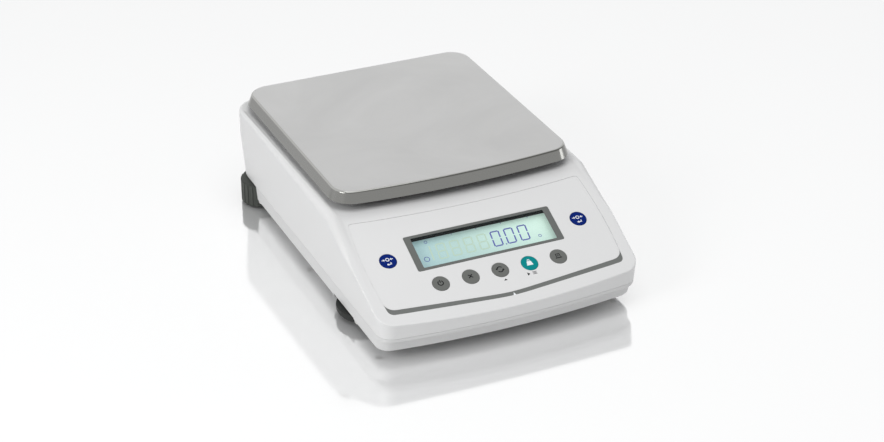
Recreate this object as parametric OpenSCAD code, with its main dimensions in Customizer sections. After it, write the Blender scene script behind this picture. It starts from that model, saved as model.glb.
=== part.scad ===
// Laboratory balance with a wide pan, a sloping key panel and a force compensation weigh cell.
// Millimetres, Z up. The origin is on the bench, below the middle of the housing. The nose faces -Y.

/* [Housing] */
// Distance from the pan's top edge to the side wall
side_gap = 11.3; // [10:0.1:16]
// Height of the nose's top edge
nose_h = 31; // [30:0.5:35]
// Height of the underside above the bench
base_z = 7.3; // [6.5:0.1:8]
// Height of the parting line between the two shells
seam_z = 22; // [21.5:0.5:23.5]
// Height of the crease that runs along the side walls
crease_z = 60; // [54:1:66]
// How far the walls lean in below the crease, measured at the underside
wall_lean = 4; // [2:0.5:5]
// Height of the well floor under the pan
well_z = 75.5; // [74:0.5:80]
// Width of the rim round the well floor
well_rim = 9; // [8.6:0.1:10]
// Rise of the shoulders over the well floor at the rear
shoulder_rise = 4.5; // [3.5:0.1:5.5]
// Rise of the shoulders over the well floor at their front end
shoulder_front_rise = 1.8; // [1.2:0.1:2.4]
// Corner radius at the rear, seen from above
rear_r = 20; // [16:1:24]
// Corner radius at the nose, seen from above
nose_r = 15; // [12:1:18]
// Radius of the bowed nose, seen from above
nose_plan_r = 700; // [500:10:1200]
// Wall thickness of both shells
wall = 2.5; // [2.2:0.1:2.8]
// Height of the rounded lip where the lower shell shows below the nose
lip_h = 4; // [3:0.5:5]
// How far the lower shell steps back below that lip
chin_step = 5.4; // [3:0.2:7]

/* [Housing edges] */
// Edge radius along the nose
edge_nose = 1.2; // [0.8:0.1:2]
// Edge radius halfway up the panel
edge_mid = 4.3; // [3:0.1:5]
// Edge radius of the shoulder at its front end
edge_front = 6; // [5:0.1:7]
// Edge radius of the shoulder at the rear
edge_rear = 2; // [1.5:0.1:3]

/* [Pan] */
// Width of the pan's face
pan_w = 190.4; // [182:0.2:196]
// Depth of the pan's face without the bow of its front edge
pan_d = 198.2; // [190:0.2:204]
// How far the front edge of the pan bows out
pan_bow = 6.2; // [3:0.2:8]
// Corner radius of the pan
pan_r = 16; // [10:1:22]
// Height of the pan's rim
pan_rim_h = 8.6; // [8:0.1:11]
// How far the rim flares out at its lower edge
pan_flare = 3.3; // [2:0.1:4]
// Thickness of the pan's sheet metal
pan_sheet = 1; // [0.8:0.1:1.4]
// Rounding of the pan's top edge
pan_edge_r = 2.2; // [1.6:0.1:3]
// Gap between the well floor and the pan's rim
pan_gap = 6.7; // [6:0.1:8]
// Distance from the pan's rim to the rear of the housing
pan_rear_gap = 0.1; // [0.1:0.1:4]

/* [Panel] */
// Slope of the key panel
panel_angle = 23.9; // [22:0.1:25]
// How far the pan's rim reaches over the panel
pan_over = 3.5; // [2.6:0.1:5]
// Distance up the slope from the nose to the row of keys
key_row_up = 33.2; // [31:0.2:36]
// Margin between the film and the housing's sides
film_side = 9.6; // [9:0.2:12]
// Radius of the film's bowed side edges
film_side_r = 340; // [250:10:600]
// Distance from the panel's top to the corners of the film
film_drop = 8.4; // [8:0.2:12]
// How far the film's top edge bows down in its middle
film_top_bow = 4; // [2:0.2:5]
// Distance from the key row down to the film's front edge
film_front = 24; // [22:0.1:25]
// Rise of the film's front edge towards its corners
film_vee = 0.08; // [0.06:0.002:0.1]
// Thickness of the film
film_t = 0.4; // [0.3:0.05:0.5]
// Depth of the film's face below the panel
film_sink = 0.3; // [0.2:0.05:0.4]
// Width of the accent stripe along the film's front edge
stripe_w = 3.5; // [3:0.1:5]

/* [Display] */
// Width of the printed frame at the window's sides
frame_side = 5.2; // [4:0.1:6]
// Width of the printed frame above and below the window
frame_band = 2.35; // [1.8:0.05:2.6]
// Distance from the key row to the middle of the display
display_u = 30.2; // [29:0.1:31]
// Width of the window inside the frame
window_w = 108; // [90:0.5:110]
// Height of the window inside the frame
window_h = 27.5; // [24:0.5:28.5]
// Depth of the liquid crystal glass below the panel
lcd_depth = 6.6; // [5:0.1:7]
// Thickness of the liquid crystal glass
lcd_t = 2.2; // [1.8:0.1:2.4]

/* [Keys] */
// Diameter of a key
key_d = 12.9; // [11:0.1:13.5]
// Distance between the keys in the row
key_pitch = 23.75; // [20:0.25:25]
// Place of each tare key between the display and the film's edge
tare_place = 0.483; // [0.4:0.001:0.55]
// Distance of the tare keys up the slope from the key row
tare_u = 29; // [20:0.5:34]
// Travel of a key
key_travel = 0.35; // [0.25:0.05:0.35]
// Depth of the key board below the panel
board_depth = 13; // [12.5:0.5:14]

/* [Feet] */
// Radius of the rear levelling wheels
rear_wheel_r = 18; // [15:0.5:19]
// Height of the rear levelling wheels
rear_wheel_h = 18.5; // [12:0.5:18.5]
// How far the rear wheels stand out of the side walls at the crease
rear_wheel_proud = 3.4; // [2:0.1:5]
// Distance of the rear feet from the rear wall
rear_foot_in = 25; // [23:1:30]
// Radius of the front levelling wheels
front_wheel_r = 22.5; // [18:0.5:24]
// Height of the front levelling wheels
front_wheel_h = 8; // [6:0.5:8.5]
// Distance of the front feet from the housing's side
front_foot_side = 21; // [20:0.5:24]
// Distance of the front feet from the nose
front_foot_in = 83; // [78:1:90]
// Radius of the foot's spindle
spindle_r = 4; // [3:0.5:5]
// Height of the rubber pad under a wheel
pad_h = 1.7; // [1.5:0.1:2]
// Gap between pad and wheel
pad_gap = 0.3; // [0.2:0.05:0.4]

/* [Weigh cell] */
// Width of the weigh cell
cell_w = 60; // [54:1:66]
// Distance from the upper guide to the well floor
guide_drop = 13.5; // [13.3:0.1:15]
// Thickness of a guide
guide_t = 2; // [1.5:0.1:2.5]
// Distance from the panel's top to the guides' fixed flexures
hinge_in = 9.6; // [9:0.2:14]
// Short arm of the lever, from the fulcrum to the link
lever_short = 12; // [10:0.5:14]
// Distance from the guides' fixed flexures to the coil
coil_in = 24; // [23:0.5:27]
// Outer radius of the magnet pot
pot_r = 19; // [17:0.5:20]

/* [Fasteners] */
// Radius of the screws' threads
screw_r = 1.5; // [1.2:0.1:1.7]
// Clearance of a hole round a screw
screw_clear = 0.1; // [0.05:0.05:0.2]
// Running clearance round spindles and pins
run_clear = 0.05; // [0.02:0.01:0.08]

/* [Hidden] */
$fn = 48;

// Counts of steps along the rounded outlines
nose_steps = 16;
corner_steps = 7;
edge_steps = 5;

// Overlap of pieces that are cut or joined
eps = 0.5;
// Gap between pieces that only sit together
seat = 0.05;
// Gap round pieces that move past others
free = 0.3;

// Places of the main forms
hw = pan_w / 2 + side_gap;
well_half = hw - well_rim;
panel_slope = tan(panel_angle);
panel_run = (well_z - nose_h) / panel_slope;
panel_len = panel_run / cos(panel_angle);
body_d = panel_run - pan_over + pan_bow + pan_d + 2 * pan_flare + pan_rear_gap;
rear_y = body_d / 2;
nose_tip_y = -rear_y;
lean = wall_lean / (crease_z - base_z);
pan_y = rear_y - pan_rear_gap - pan_flare - pan_d / 2;
pan_front_y = pan_y - pan_d / 2 - pan_bow;
pan_rim_z = well_z + pan_gap;
pan_top_z = pan_rim_z + pan_rim_h;
panel_top_y = nose_tip_y + panel_run;
nose_y = nose_tip_y - lean * (crease_z - nose_h);
join_y = panel_top_y + shoulder_front_rise / panel_slope;
ceiling_z = well_z - wall;
floor_z = base_z + wall;
key_row_y = nose_tip_y + key_row_up * cos(panel_angle);
key_row_z = nose_h + key_row_up * sin(panel_angle);
film_half = hw - film_side;
film_top = panel_len - key_row_up - film_drop;
frame_w = window_w + 2 * frame_side;
frame_h = window_h + 2 * frame_band;
tare_x = frame_w / 2 + (film_half - frame_w / 2) * tare_place;
edge_mid_y = panel_top_y - 27;
edge_low_y = panel_top_y - 44;
side_ys = [edge_low_y - 10, edge_low_y, edge_low_y + 8, edge_mid_y, edge_mid_y + 12,
    panel_top_y - 4, join_y, join_y + 8, join_y + 60, join_y + 120];

// Height of the roof over a place on the plan
function panel_z(y) = well_z + (y - panel_top_y) * panel_slope;
function shoulder_z(y) = well_z + shoulder_front_rise
    + (shoulder_rise - shoulder_front_rise) * (y - join_y) / (rear_y - join_y);
function roof_z(y) = y < join_y ? panel_z(y) : shoulder_z(y);
function inner_roof_z(y) = min(ceiling_z, panel_z(y) - wall / cos(panel_angle));
function edge_r(y) = lookup(y, [[nose_tip_y, edge_nose], [edge_low_y, edge_nose],
    [edge_mid_y, edge_mid], [join_y, edge_front], [rear_y, edge_rear]]);
function lean_in(z) = lean * max(0, crease_z - z);

// Places along an outline, each with its outward normal
function arc_places(c, r, a0, a1, first, last, steps) = [for (i = [first:last])
    let (a = a0 + (a1 - a0) * i / steps)
    [c[0] + r * cos(a), c[1] + r * sin(a), cos(a), sin(a)]];
function outline_places(half, front, rear, rf, rr, big, sides) =
    let (yc = front + big)
    let (cx = half - rf)
    let (cy = yc - sqrt(pow(big - rf, 2) - cx * cx))
    let (t = asin(cx / (big - rf)))
    concat(arc_places([0, yc], big, -90 - t, -90 + t, 0, nose_steps, nose_steps),
        arc_places([cx, cy], rf, -90 + t, 0, 1, corner_steps, corner_steps),
        [for (y = sides) [half, y, 1, 0]],
        arc_places([half - rr, rear - rr], rr, 0, 90, 0, corner_steps, corner_steps),
        arc_places([rr - half, rear - rr], rr, 90, 180, 0, corner_steps, corner_steps),
        [for (i = [len(sides) - 1:-1:0]) [-half, sides[i], -1, 0]],
        arc_places([-cx, cy], rf, 180, 270 - t, 0, corner_steps - 1, corner_steps));
function housing_places(pull) =
    outline_places(hw, nose_y + pull, rear_y, nose_r, rear_r, nose_plan_r, side_ys);
function inset(places, d) = [for (s = places) [s[0] - d * s[2], s[1] - d * s[3]]];
function ring(points, z) = [for (p = points) [p[0], p[1], z]];

// Closed skin through a stack of rings, its top capped by strips between left and right
module skin(rings) {
    n = len(rings[0]);
    top = (len(rings) - 1) * n;
    mid = nose_steps / 2;
    half_n = (n - 1) / 2;
    right = [for (k = [0:half_n]) top + (mid + k) % n];
    left = [for (k = [0:half_n]) top + (mid - k + n) % n];
    sides = [for (k = [0:len(rings) - 2]) for (i = [0:n - 1])
        let (j = (i + 1) % n)
        each [[k * n + i, (k + 1) * n + i, (k + 1) * n + j],
            [k * n + i, (k + 1) * n + j, k * n + j]]];
    cap = [for (k = [1:half_n - 1])
        each [[left[k], left[k + 1], right[k + 1]], [left[k], right[k + 1], right[k]]]];
    polyhedron(points = [for (r = rings) each r],
        faces = concat([[for (i = [0:n - 1]) i]], sides, [[left[0], left[1], right[1]]], cap),
        convexity = 4);
}

// Prism along X from an outline given in Y and Z
module across(points, width) {
    rotate([90, 0, 90])
        linear_extrude(height = width, center = true)
        polygon(points);
}

// Everything placed on the panel: X across, Y up the slope, Z out of it
module on_panel() {
    translate([0, key_row_y, key_row_z])
        rotate([panel_angle, 0, 0])
        children();
}

// Rounded rectangle about the origin
function round_rect(w, h, r) = [for (q = [0:3]) each [for (i = [0:5])
    let (a = 90 * q + 18 * i)
    [(q == 0 || q == 3 ? 1 : -1) * (w / 2 - r) + r * cos(a),
     (q < 2 ? 1 : -1) * (h / 2 - r) + r * sin(a)]]];
module plate(w, h, r, z0, z1) {
    translate([0, 0, z0])
        linear_extrude(height = z1 - z0)
        polygon(round_rect(w, h, r));
}
module mirrored_x() {
    children();
    mirror([1, 0, 0])
        children();
}

// Key places: across and up the slope
key_places = [[-2 * key_pitch, 0], [-key_pitch, 0], [0, 0], [key_pitch, 0], [2 * key_pitch, 0],
    [-tare_x, tare_u], [tare_x, tare_u]];
key_r = key_d / 2;
key_hole_r = key_r + 0.2;
key_flange_r = key_r + 1.4;
switch_top = board_depth - 4.1;
board_t = 1.6;
board_half = tare_x + key_flange_r + 2.7;
board_low = -12;
board_high = film_top - 10;
board_screw_in = 4;
board_screw_places = [for (x = [-board_half + board_screw_in, board_half - board_screw_in])
    for (y = [board_low + board_screw_in, board_high - board_screw_in]) [x, y],
    [0, board_high - board_screw_in], [-1.5 * key_pitch, board_low + board_screw_in],
    [1.5 * key_pitch, board_low + board_screw_in]];

// Housing screw places beside the main board and along the sides
main_board_w = 100;
main_board_d = 68;
housing_screw_places = [[hw - 11, nose_tip_y + 33], [hw - 11.5, 18],
    [main_board_w / 2 + 8, rear_y - 10.5]];
boss_r = 4;
boss_split_z = seam_z + 6;
screw_head_r = 2.8;
board_screw_r = 1;
screw_head_h = 2.4;

// Foot places and heights
rear_foot = [hw + rear_wheel_proud - rear_wheel_r, rear_y - rear_foot_in];
front_foot = [hw - front_foot_side, nose_tip_y + front_foot_in];
wheel_z = pad_h + pad_gap;
rear_wheel_top = wheel_z + rear_wheel_h;
front_wheel_top = wheel_z + front_wheel_h;
wheel_room = 1.5;
front_room = 3.5;
rear_bay_z = rear_wheel_top + 1;
front_bay_z = front_wheel_top + 0.9;
bush_h = 12;
bush_r = spindle_r + 2.5;
foot_boss_r = bush_r + 1.6;

// Outer skin of the upper shell
function upper_top(s) =
    let (r = edge_r(s[1]))
    let (slope = s[1] < join_y ? atan(panel_slope * max(0, -s[3])) : 0)
    let (y = s[1] - s[3] * (lean_in(roof_z(s[1])) + r * (1 - sin(slope))))
    [r, roof_z(y) - r * cos(slope), 90 - slope];
function upper_seam_ring() = ring(inset(housing_places(0), lean_in(seam_z)), seam_z);
function upper_crease_ring() = [for (s = housing_places(0))
    let (top = upper_top(s)[1])
    let (z = top > crease_z + 0.5 ? crease_z : (seam_z + top) / 2)
    [s[0] - lean_in(z) * s[2], s[1] - lean_in(z) * s[3], z]];
function upper_edge_ring(k) = [for (s = housing_places(0))
    let (t = upper_top(s))
    let (a = t[2] * k / edge_steps)
    let (d = lean_in(t[1]) + t[0] * (1 - cos(a)))
    let (p = [s[0] - d * s[2], s[1] - d * s[3]])
    [p[0], p[1], k == edge_steps ? roof_z(p[1]) : t[1] + t[0] * sin(a)]];
module upper_solid() {
    skin(concat([upper_seam_ring(), upper_crease_ring()],
        [for (k = [0:edge_steps]) upper_edge_ring(k)]));
}

// Room inside the upper shell
module upper_room(gap) {
    knee_y = panel_top_y + (gap / cos(panel_angle) - gap) / panel_slope;
    front = nose_tip_y - 5;
    intersection() {
        skin([ring(inset(housing_places(0), lean_in(seam_z - 1) + gap), seam_z - 1),
            ring(inset(housing_places(0), gap), crease_z),
            ring(inset(housing_places(0), gap), well_z)]);
        across([[front, seam_z - 2], [rear_y + 5, seam_z - 2], [rear_y + 5, well_z - gap],
            [knee_y, well_z - gap], [front, panel_z(front) - gap / cos(panel_angle)]], 2 * hw);
    }
}

// Hollow of the well inside the shoulders, its walls drafted, open to the panel
flat_r = 20000;
module well_cut() {
    top = shoulder_rise + 3;
    run = (well_rim - edge_rear - 0.5) / shoulder_rise * top;
    places = outline_places(well_half, panel_top_y - 8, rear_y - well_rim, 4, rear_r - well_rim,
        flat_r, []);
    skin([ring(places, well_z), ring(inset(places, -run), well_z + top)]);
}

// Outline of the printed film: sides and top bowed, the front edge a blunt vee
film_tip = 10;
film_mid = film_top * 0.37;
film_corner_r = 5;
film_top_r = 3;
function film_low(x, front, vee) = vee * (sqrt(x * x + film_tip * film_tip) - film_tip) - front;
function film_high(x) = film_top - film_top_bow * (1 - pow(x / film_half, 2));
function film_edge(u) = film_half - pow(u - film_mid, 2) / (2 * film_side_r);
function film_half_places(front, vee, r) =
    let (v0 = film_low(film_half - r, front, vee) + r)
    let (v1 = film_high(film_half - film_top_r) - film_top_r)
    let (tilt = atan(vee))
    let (low_tilt = asin((film_mid - v0) / film_side_r))
    let (high_tilt = asin((v1 - film_mid) / film_side_r))
    let (x0 = film_edge(v0) - r)
    let (x1 = film_edge(v1) - film_top_r)
    concat([for (i = [0:12]) let (x = x0 * pow(i / 13, 1.5))
            [x, film_low(x, front, vee), sin(tilt * x / x0), -1]],
        arc_places([x0, v0], r, tilt - 90, -low_tilt, 0, 5, 5),
        [for (i = [1:5]) let (u = v0 + (v1 - v0) * i / 6)
            [film_edge(u), u, 1, (u - film_mid) / film_side_r]],
        arc_places([x1, v1], film_top_r, high_tilt, 90 + atan(2 * film_top_bow / film_half), 0, 4, 4),
        [for (i = [5:-1:0]) let (x = x1 * i / 6)
            [x, film_high(x), -2 * film_top_bow * x / film_half / film_half, 1]]);
function film_places(front, vee, r) =
    let (half = film_half_places(front, vee, r))
    concat(half, [for (i = [len(half) - 2:-1:1]) [-half[i][0], half[i][1], -half[i][2], half[i][3]]]);
function film_outline(d) = inset(film_places(film_front, film_vee, film_corner_r), d);
function inner_film_outline(d) =
    inset(film_places(film_front - stripe_w, film_vee + 0.009, film_corner_r + 3.5), d);
film_floor = -film_sink - film_t;
window_t = 1;
border_t = 0.2;
window_flange = 2;
window_floor = -film_sink - border_t - window_t;
lcd_room_w = window_w + 9;
lcd_room_h = window_h + 4.5;
lcd_frame_t = 0.9;
lcd_seat = 0.2;

receptor_hole_r = 16;
collar_r = 19.5;
collar_h = 3.5;
socket_z = boss_split_z + 7.5;
socket_y = rear_y - lean_in(socket_z);
power_x = -0.36 * main_board_w;
power_r = 5.2;
data_x = 0.22 * main_board_w;
data_w = 19.4;
data_h = 10.8;

module upper_housing() {
    color("gainsboro")
        difference() {
            union() {
                difference() {
                    upper_solid();
                    upper_room(wall);
                    well_cut();
                }
                translate([0, pan_y, ceiling_z - 3])
                    cylinder(r = collar_r, h = wall + 3 + collar_h);
                mirrored_x()
                    for (p = housing_screw_places)
                        translate([p[0], p[1], boss_split_z + 0.2])
                            cylinder(r = boss_r, h = inner_roof_z(p[1]) + 1 - boss_split_z);
                on_panel()
                    for (p = board_screw_places)
                        translate([p[0], p[1], -board_depth + seat])
                            cylinder(r = 3, h = board_depth - wall + 0.8);
            }
            translate([0, pan_y, ceiling_z - 4])
                cylinder(r = receptor_hole_r, h = 20);
            mirrored_x()
                for (p = housing_screw_places)
                    translate([p[0], p[1], 0])
                        cylinder(r = screw_r, h = boss_split_z + 9);
            on_panel()
                panel_cuts();
            translate([power_x, socket_y, socket_z])
                rotate([90, 0, 0])
                cylinder(r = power_r + free, h = 12, center = true);
            translate([data_x, socket_y, socket_z])
                rotate([90, 0, 0])
                plate(data_w + 2 * free, data_h + 2 * free, 2.5, -6, 6);
        }
}

// Recesses and holes in the panel
module panel_cuts() {
    translate([0, 0, film_floor])
        linear_extrude(height = 3)
        polygon(film_outline(0));
    translate([0, display_u, 0])
        plate(frame_w + 2 * window_flange + 0.2, frame_h + 2 * window_flange + 0.2, 2,
            window_floor, 3 + film_floor);
    translate([0, display_u, 0])
        plate(lcd_room_w, lcd_room_h, 1, -9, 3);
    for (p = key_places)
        translate([p[0], p[1], -9])
            cylinder(r = key_hole_r, h = 12);
    for (p = board_screw_places)
        translate([p[0], p[1], -board_depth - 1])
            cylinder(r = board_screw_r, h = board_depth - wall + 0.5);
}

// Rings of the lower shell, from the underside up
lip_z = seam_z - lip_h;
function tub_ring(z, d, pull) = ring(inset(housing_places(pull), lean_in(z) + d), z);
module lower_solid() {
    skin([tub_ring(base_z, 3.2, chin_step), tub_ring(base_z + 0.6, 1.4, chin_step),
        tub_ring(base_z + 1.6, 0.4, chin_step), tub_ring(base_z + 3, 0, chin_step),
        tub_ring(lip_z - 0.6, 0, chin_step - 0.3), tub_ring(lip_z, 0, chin_step - 1.2),
        tub_ring(lip_z + 0.1, 0, 1.6), tub_ring(lip_z + 0.6, 0, 0.5), tub_ring(lip_z + 1.5, 0, 0),
        tub_ring(seam_z - 0.2, 0, 0)]);
}
module lower_room() {
    skin([tub_ring(floor_z, wall, chin_step), tub_ring(lip_z, wall, chin_step),
        tub_ring(seam_z - 1, wall, wall), tub_ring(seam_z + 6, wall, wall)]);
}

// Tongue that stands inside the upper shell along the parting line
module tongue() {
    difference() {
        skin([tub_ring(seam_z - 2, wall + seat, wall), tub_ring(seam_z + 2.5, wall + seat, wall)]);
        skin([tub_ring(seam_z - 3, wall + 1.5, wall), tub_ring(seam_z + 4, wall + 1.5, wall)]);
    }
}

// Cup that holds a levelling wheel, with the boss for its bush
module foot_cup(p, r, bay_z) {
    intersection() {
        translate([p[0], p[1], base_z])
            cylinder(r = r + wall, h = bay_z + wall - base_z);
        skin([tub_ring(base_z, 0.5, chin_step), tub_ring(seam_z - 0.5, 0.5, chin_step),
            tub_ring(seam_z, wall + seat, chin_step), tub_ring(seam_z + 6, wall + seat, chin_step)]);
    }
    translate([p[0], p[1], bay_z])
        cylinder(r = foot_boss_r, h = bush_h);
}
module foot_bay(p, r, bay_z) {
    translate([p[0], p[1], -1])
        cylinder(r = r, h = bay_z + 1);
    translate([p[0], p[1], bay_z - 1])
        cylinder(r = bush_r + seat, h = bush_h + 2);
}

hinge_y = panel_top_y + hinge_in;
cell_posts = [[cell_w / 2 - 6, pan_y + 2], [cell_w / 2 - 6, hinge_y + 8]];
cell_z = floor_z + 2.7;
underhook_r = 11;
main_board_z = boss_split_z - 2;
main_board_y = socket_y - wall - 1 - main_board_d / 2;
main_screw_places = [[main_board_w / 2 - 5, main_board_y - main_board_d / 2 + 5],
    [main_board_w / 2 - 5, main_board_y + main_board_d / 2 - 18]];

module lower_housing() {
    color("gainsboro")
        difference() {
            union() {
                difference() {
                    lower_solid();
                    lower_room();
                }
                tongue();
                mirrored_x() {
                    foot_cup(rear_foot, rear_wheel_r + wheel_room, rear_bay_z);
                    foot_cup(front_foot, front_wheel_r + front_room, front_bay_z);
                    for (p = housing_screw_places)
                        translate([p[0], p[1], base_z + 0.5])
                            cylinder(r = boss_r, h = boss_split_z - base_z - 0.5);
                    for (p = cell_posts)
                        translate([p[0], p[1], floor_z - eps])
                            cylinder(r = 5, h = cell_z - floor_z + eps);
                    for (p = main_screw_places)
                        translate([p[0], p[1], floor_z - eps])
                            cylinder(r = 3.5, h = main_board_z - floor_z + eps);
                }
                for (x = [-32, 32])
                    translate([x - 0.8, hinge_y - 44, floor_z - eps])
                        cube([1.6, 28, 5]);
            }
            mirrored_x() {
                foot_bay(rear_foot, rear_wheel_r + wheel_room, rear_bay_z);
                foot_bay(front_foot, front_wheel_r + front_room, front_bay_z);
                for (p = housing_screw_places) {
                    translate([p[0], p[1], 0])
                        cylinder(r = screw_r + screw_clear, h = boss_split_z + 1);
                    translate([p[0], p[1], 0])
                        cylinder(r = screw_head_r + free, h = base_z + screw_head_h + 1);
                }
                for (p = cell_posts)
                    translate([p[0], p[1], base_z + 1])
                        cylinder(r = screw_r, h = 12);
                for (p = main_screw_places)
                    translate([p[0], p[1], floor_z + 4])
                        cylinder(r = board_screw_r, h = main_board_z);
            }
            translate([0, pan_y, 0])
                cylinder(r = underhook_r + seat, h = floor_z + 1);
        }
}

module underhook_cover() {
    color("gainsboro")
        translate([0, pan_y, base_z + 0.6])
            difference() {
                union() {
                    cylinder(r = underhook_r, h = wall - 0.6);
                    translate([0, 0, wall - 0.6])
                        cylinder(r = underhook_r + 2, h = 1);
                }
                translate([-6, -0.6, -1])
                    cube([12, 1.2, 1.8]);
            }
}

module housing_screws() {
    color("dimgray")
        mirrored_x()
            for (p = housing_screw_places)
                translate([p[0], p[1], base_z + 1])
                    difference() {
                        union() {
                            cylinder(r = screw_head_r, h = screw_head_h);
                            cylinder(r = screw_r - 0.02, h = boss_split_z + 6 - base_z);
                        }
                        cylinder(r = 1, h = 2.4, center = true, $fn = 6);
                    }
}

// Printed film with its key holes and display cut-out
module overlay_film() {
    color("whitesmoke")
        on_panel()
        translate([0, 0, film_floor])
        linear_extrude(height = film_t)
        difference() {
            polygon(inner_film_outline(0.1));
            for (p = key_places)
                translate(p)
                    circle(r = key_hole_r);
            translate([0, display_u])
                polygon(round_rect(frame_w + 0.2, frame_h + 0.2, 1.5));
        }
}

module accent_strip() {
    color("slategray")
        on_panel()
        translate([0, 0, film_floor])
        linear_extrude(height = film_t)
        difference() {
            polygon(film_outline(0.1));
            polygon(inner_film_outline(-0.02));
        }
}

module display_frame() {
    color("gray")
        on_panel()
        translate([0, display_u, 0])
        difference() {
            plate(frame_w, frame_h, 1.4, -film_sink - border_t, -film_sink);
            plate(window_w, window_h, 0.8, -2, 2);
        }
}

module display_window() {
    color("lightcyan")
        on_panel()
        translate([0, display_u, 0]) {
            plate(frame_w, frame_h, 1.4, window_floor, -film_sink - border_t);
            plate(frame_w + 2 * window_flange, frame_h + 2 * window_flange, 1.9, window_floor,
                film_floor - seat);
        }
}

// Black frame behind the window that holds the glass and its backlight
module lcd_bezel() {
    color("black")
        on_panel()
        translate([0, display_u, 0])
        difference() {
            union() {
                plate(lcd_room_w - 2 * lcd_seat, lcd_room_h - 2 * lcd_seat, 0.8, -lcd_depth,
                    window_floor - seat);
                plate(lcd_room_w + 3, lcd_room_h + 3, 1.5, seat - board_depth, -lcd_depth + 1);
            }
            plate(lcd_room_w - 2 * lcd_seat - 2 * lcd_frame_t,
                lcd_room_h - 2 * lcd_seat - 2 * lcd_frame_t, 0.8, -lcd_depth - 1, 0);
            plate(lcd_room_w, lcd_room_h, 0.8, -board_depth - 1, -lcd_depth);
        }
}
module lcd_glass() {
    color("paleturquoise")
        on_panel()
        translate([0, display_u, 0])
        plate(lcd_room_w - 2 * lcd_seat, lcd_room_h - 2 * lcd_seat, 0.6, -lcd_depth - lcd_t,
            -lcd_depth - seat);
}
module lcd_backlight() {
    color("white")
        on_panel()
        translate([0, display_u, 0])
        plate(lcd_room_w - 2 * lcd_seat, lcd_room_h - 2 * lcd_seat, 0.6, 0.4 - board_depth,
            -lcd_depth - lcd_t - seat);
}

// Key with a flange that keeps it under the panel and a stem for its switch
module key(i, tint) {
    color(tint)
        on_panel()
        translate(key_places[i]) {
            translate([0, 0, -wall - free - 0.8])
                cylinder(r = key_r, h = wall + free + 0.8 - film_sink);
            translate([0, 0, -wall - free - 0.8])
                cylinder(r = key_flange_r, h = 0.8);
            translate([0, 0, -switch_top + key_travel + seat])
                cylinder(r = 2.2, h = switch_top - wall - key_travel);
        }
}
module key_power() { key(0, "gray"); }
module key_clear() { key(1, "gray"); }
module key_toggle() { key(2, "gray"); }
module key_calibrate() { key(3, "cadetblue"); }
module key_print() { key(4, "gray"); }
module key_tare_left() { key(5, "royalblue"); }
module key_tare_right() { key(6, "royalblue"); }

module key_board() {
    color("darkgreen")
        on_panel()
        difference() {
            translate([-board_half, board_low, -board_depth - board_t])
                cube([2 * board_half, board_high - board_low, board_t]);
            for (p = board_screw_places)
                translate([p[0], p[1], -board_depth - board_t - 1])
                    cylinder(r = board_screw_r + screw_clear, h = board_t + 2);
        }
}
module key_board_screws() {
    color("silver")
        on_panel()
        for (p = board_screw_places)
            translate([p[0], p[1], -board_depth - board_t]) {
                cylinder(r = board_screw_r - 0.02, h = board_t + 5);
                translate([0, 0, -1.4])
                    cylinder(r = 2, h = 1.4);
            }
}
module key_switches() {
    color("dimgray")
        on_panel()
        for (p = key_places)
            translate([p[0], p[1], -board_depth]) {
                translate([-3, -3, 0])
                    cube([6, 6, board_depth - switch_top - 0.7]);
                cylinder(r = 1.75, h = board_depth - switch_top);
            }
}

module main_board() {
    color("darkgreen")
        difference() {
            translate([-main_board_w / 2, main_board_y - main_board_d / 2, main_board_z])
                cube([main_board_w, main_board_d, board_t]);
            mirrored_x()
                for (p = main_screw_places)
                    translate([p[0], p[1], main_board_z - 1])
                        cylinder(r = board_screw_r + screw_clear, h = board_t + 2);
        }
}
module main_board_screws() {
    color("silver")
        mirrored_x()
            for (p = main_screw_places)
                translate([p[0], p[1], main_board_z + board_t]) {
                    cylinder(r = 2, h = 1.4);
                    translate([0, 0, -board_t - 5])
                        cylinder(r = board_screw_r - 0.02, h = board_t + 5.5);
                }
}
module main_board_parts() {
    color("darkslategray")
        translate([0, main_board_y, main_board_z + board_t]) {
            for (c = [[0, -6, 14, 14, 1.6], [24, -10, 18, 12, 3.2], [-24, 4, 10, 8, 2.4]])
                translate([c[0] - c[2] / 2, c[1] - c[3] / 2, 0])
                    cube([c[2], c[3], c[4]]);
            for (c = [[-44, 8], [-44, -6], [-34, -8]])
                translate([c[0], c[1], 0])
                    cylinder(r = 4, h = 11);
            translate([ribbon_x - ribbon_w / 2 - 2, ribbon_header_y - main_board_y - 3, 0])
                cube([ribbon_w + 4, 6, 5]);
        }
}
module power_socket() {
    color("black")
        translate([power_x, socket_y - 0.6, socket_z])
            rotate([90, 0, 0])
            difference() {
                union() {
                    cylinder(r = power_r, h = wall + 1);
                    translate([-6, main_board_z + board_t - socket_z, wall + 0.9])
                        cube([12, 11.5, 12]);
                }
                translate([0, 0, -1])
                    cylinder(r = 3.2, h = 11);
            }
    color("silver")
        translate([power_x, socket_y - 3, socket_z])
            rotate([90, 0, 0])
            cylinder(r = 1, h = 8);
}
module data_socket() {
    color("silver")
        translate([data_x, socket_y - 0.4, socket_z])
            rotate([90, 0, 0])
            difference() {
                union() {
                    plate(data_w, data_h, 2.2, 0, wall + 2);
                    plate(31, 12.4, 1, wall + 0.6, wall + 1.8);
                    translate([-14, main_board_z + board_t - socket_z, wall + 1.7])
                        cube([28, 12, 10]);
                }
                plate(data_w - 1.4, data_h - 1.4, 1.8, -1, 5);
            }
}

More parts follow.
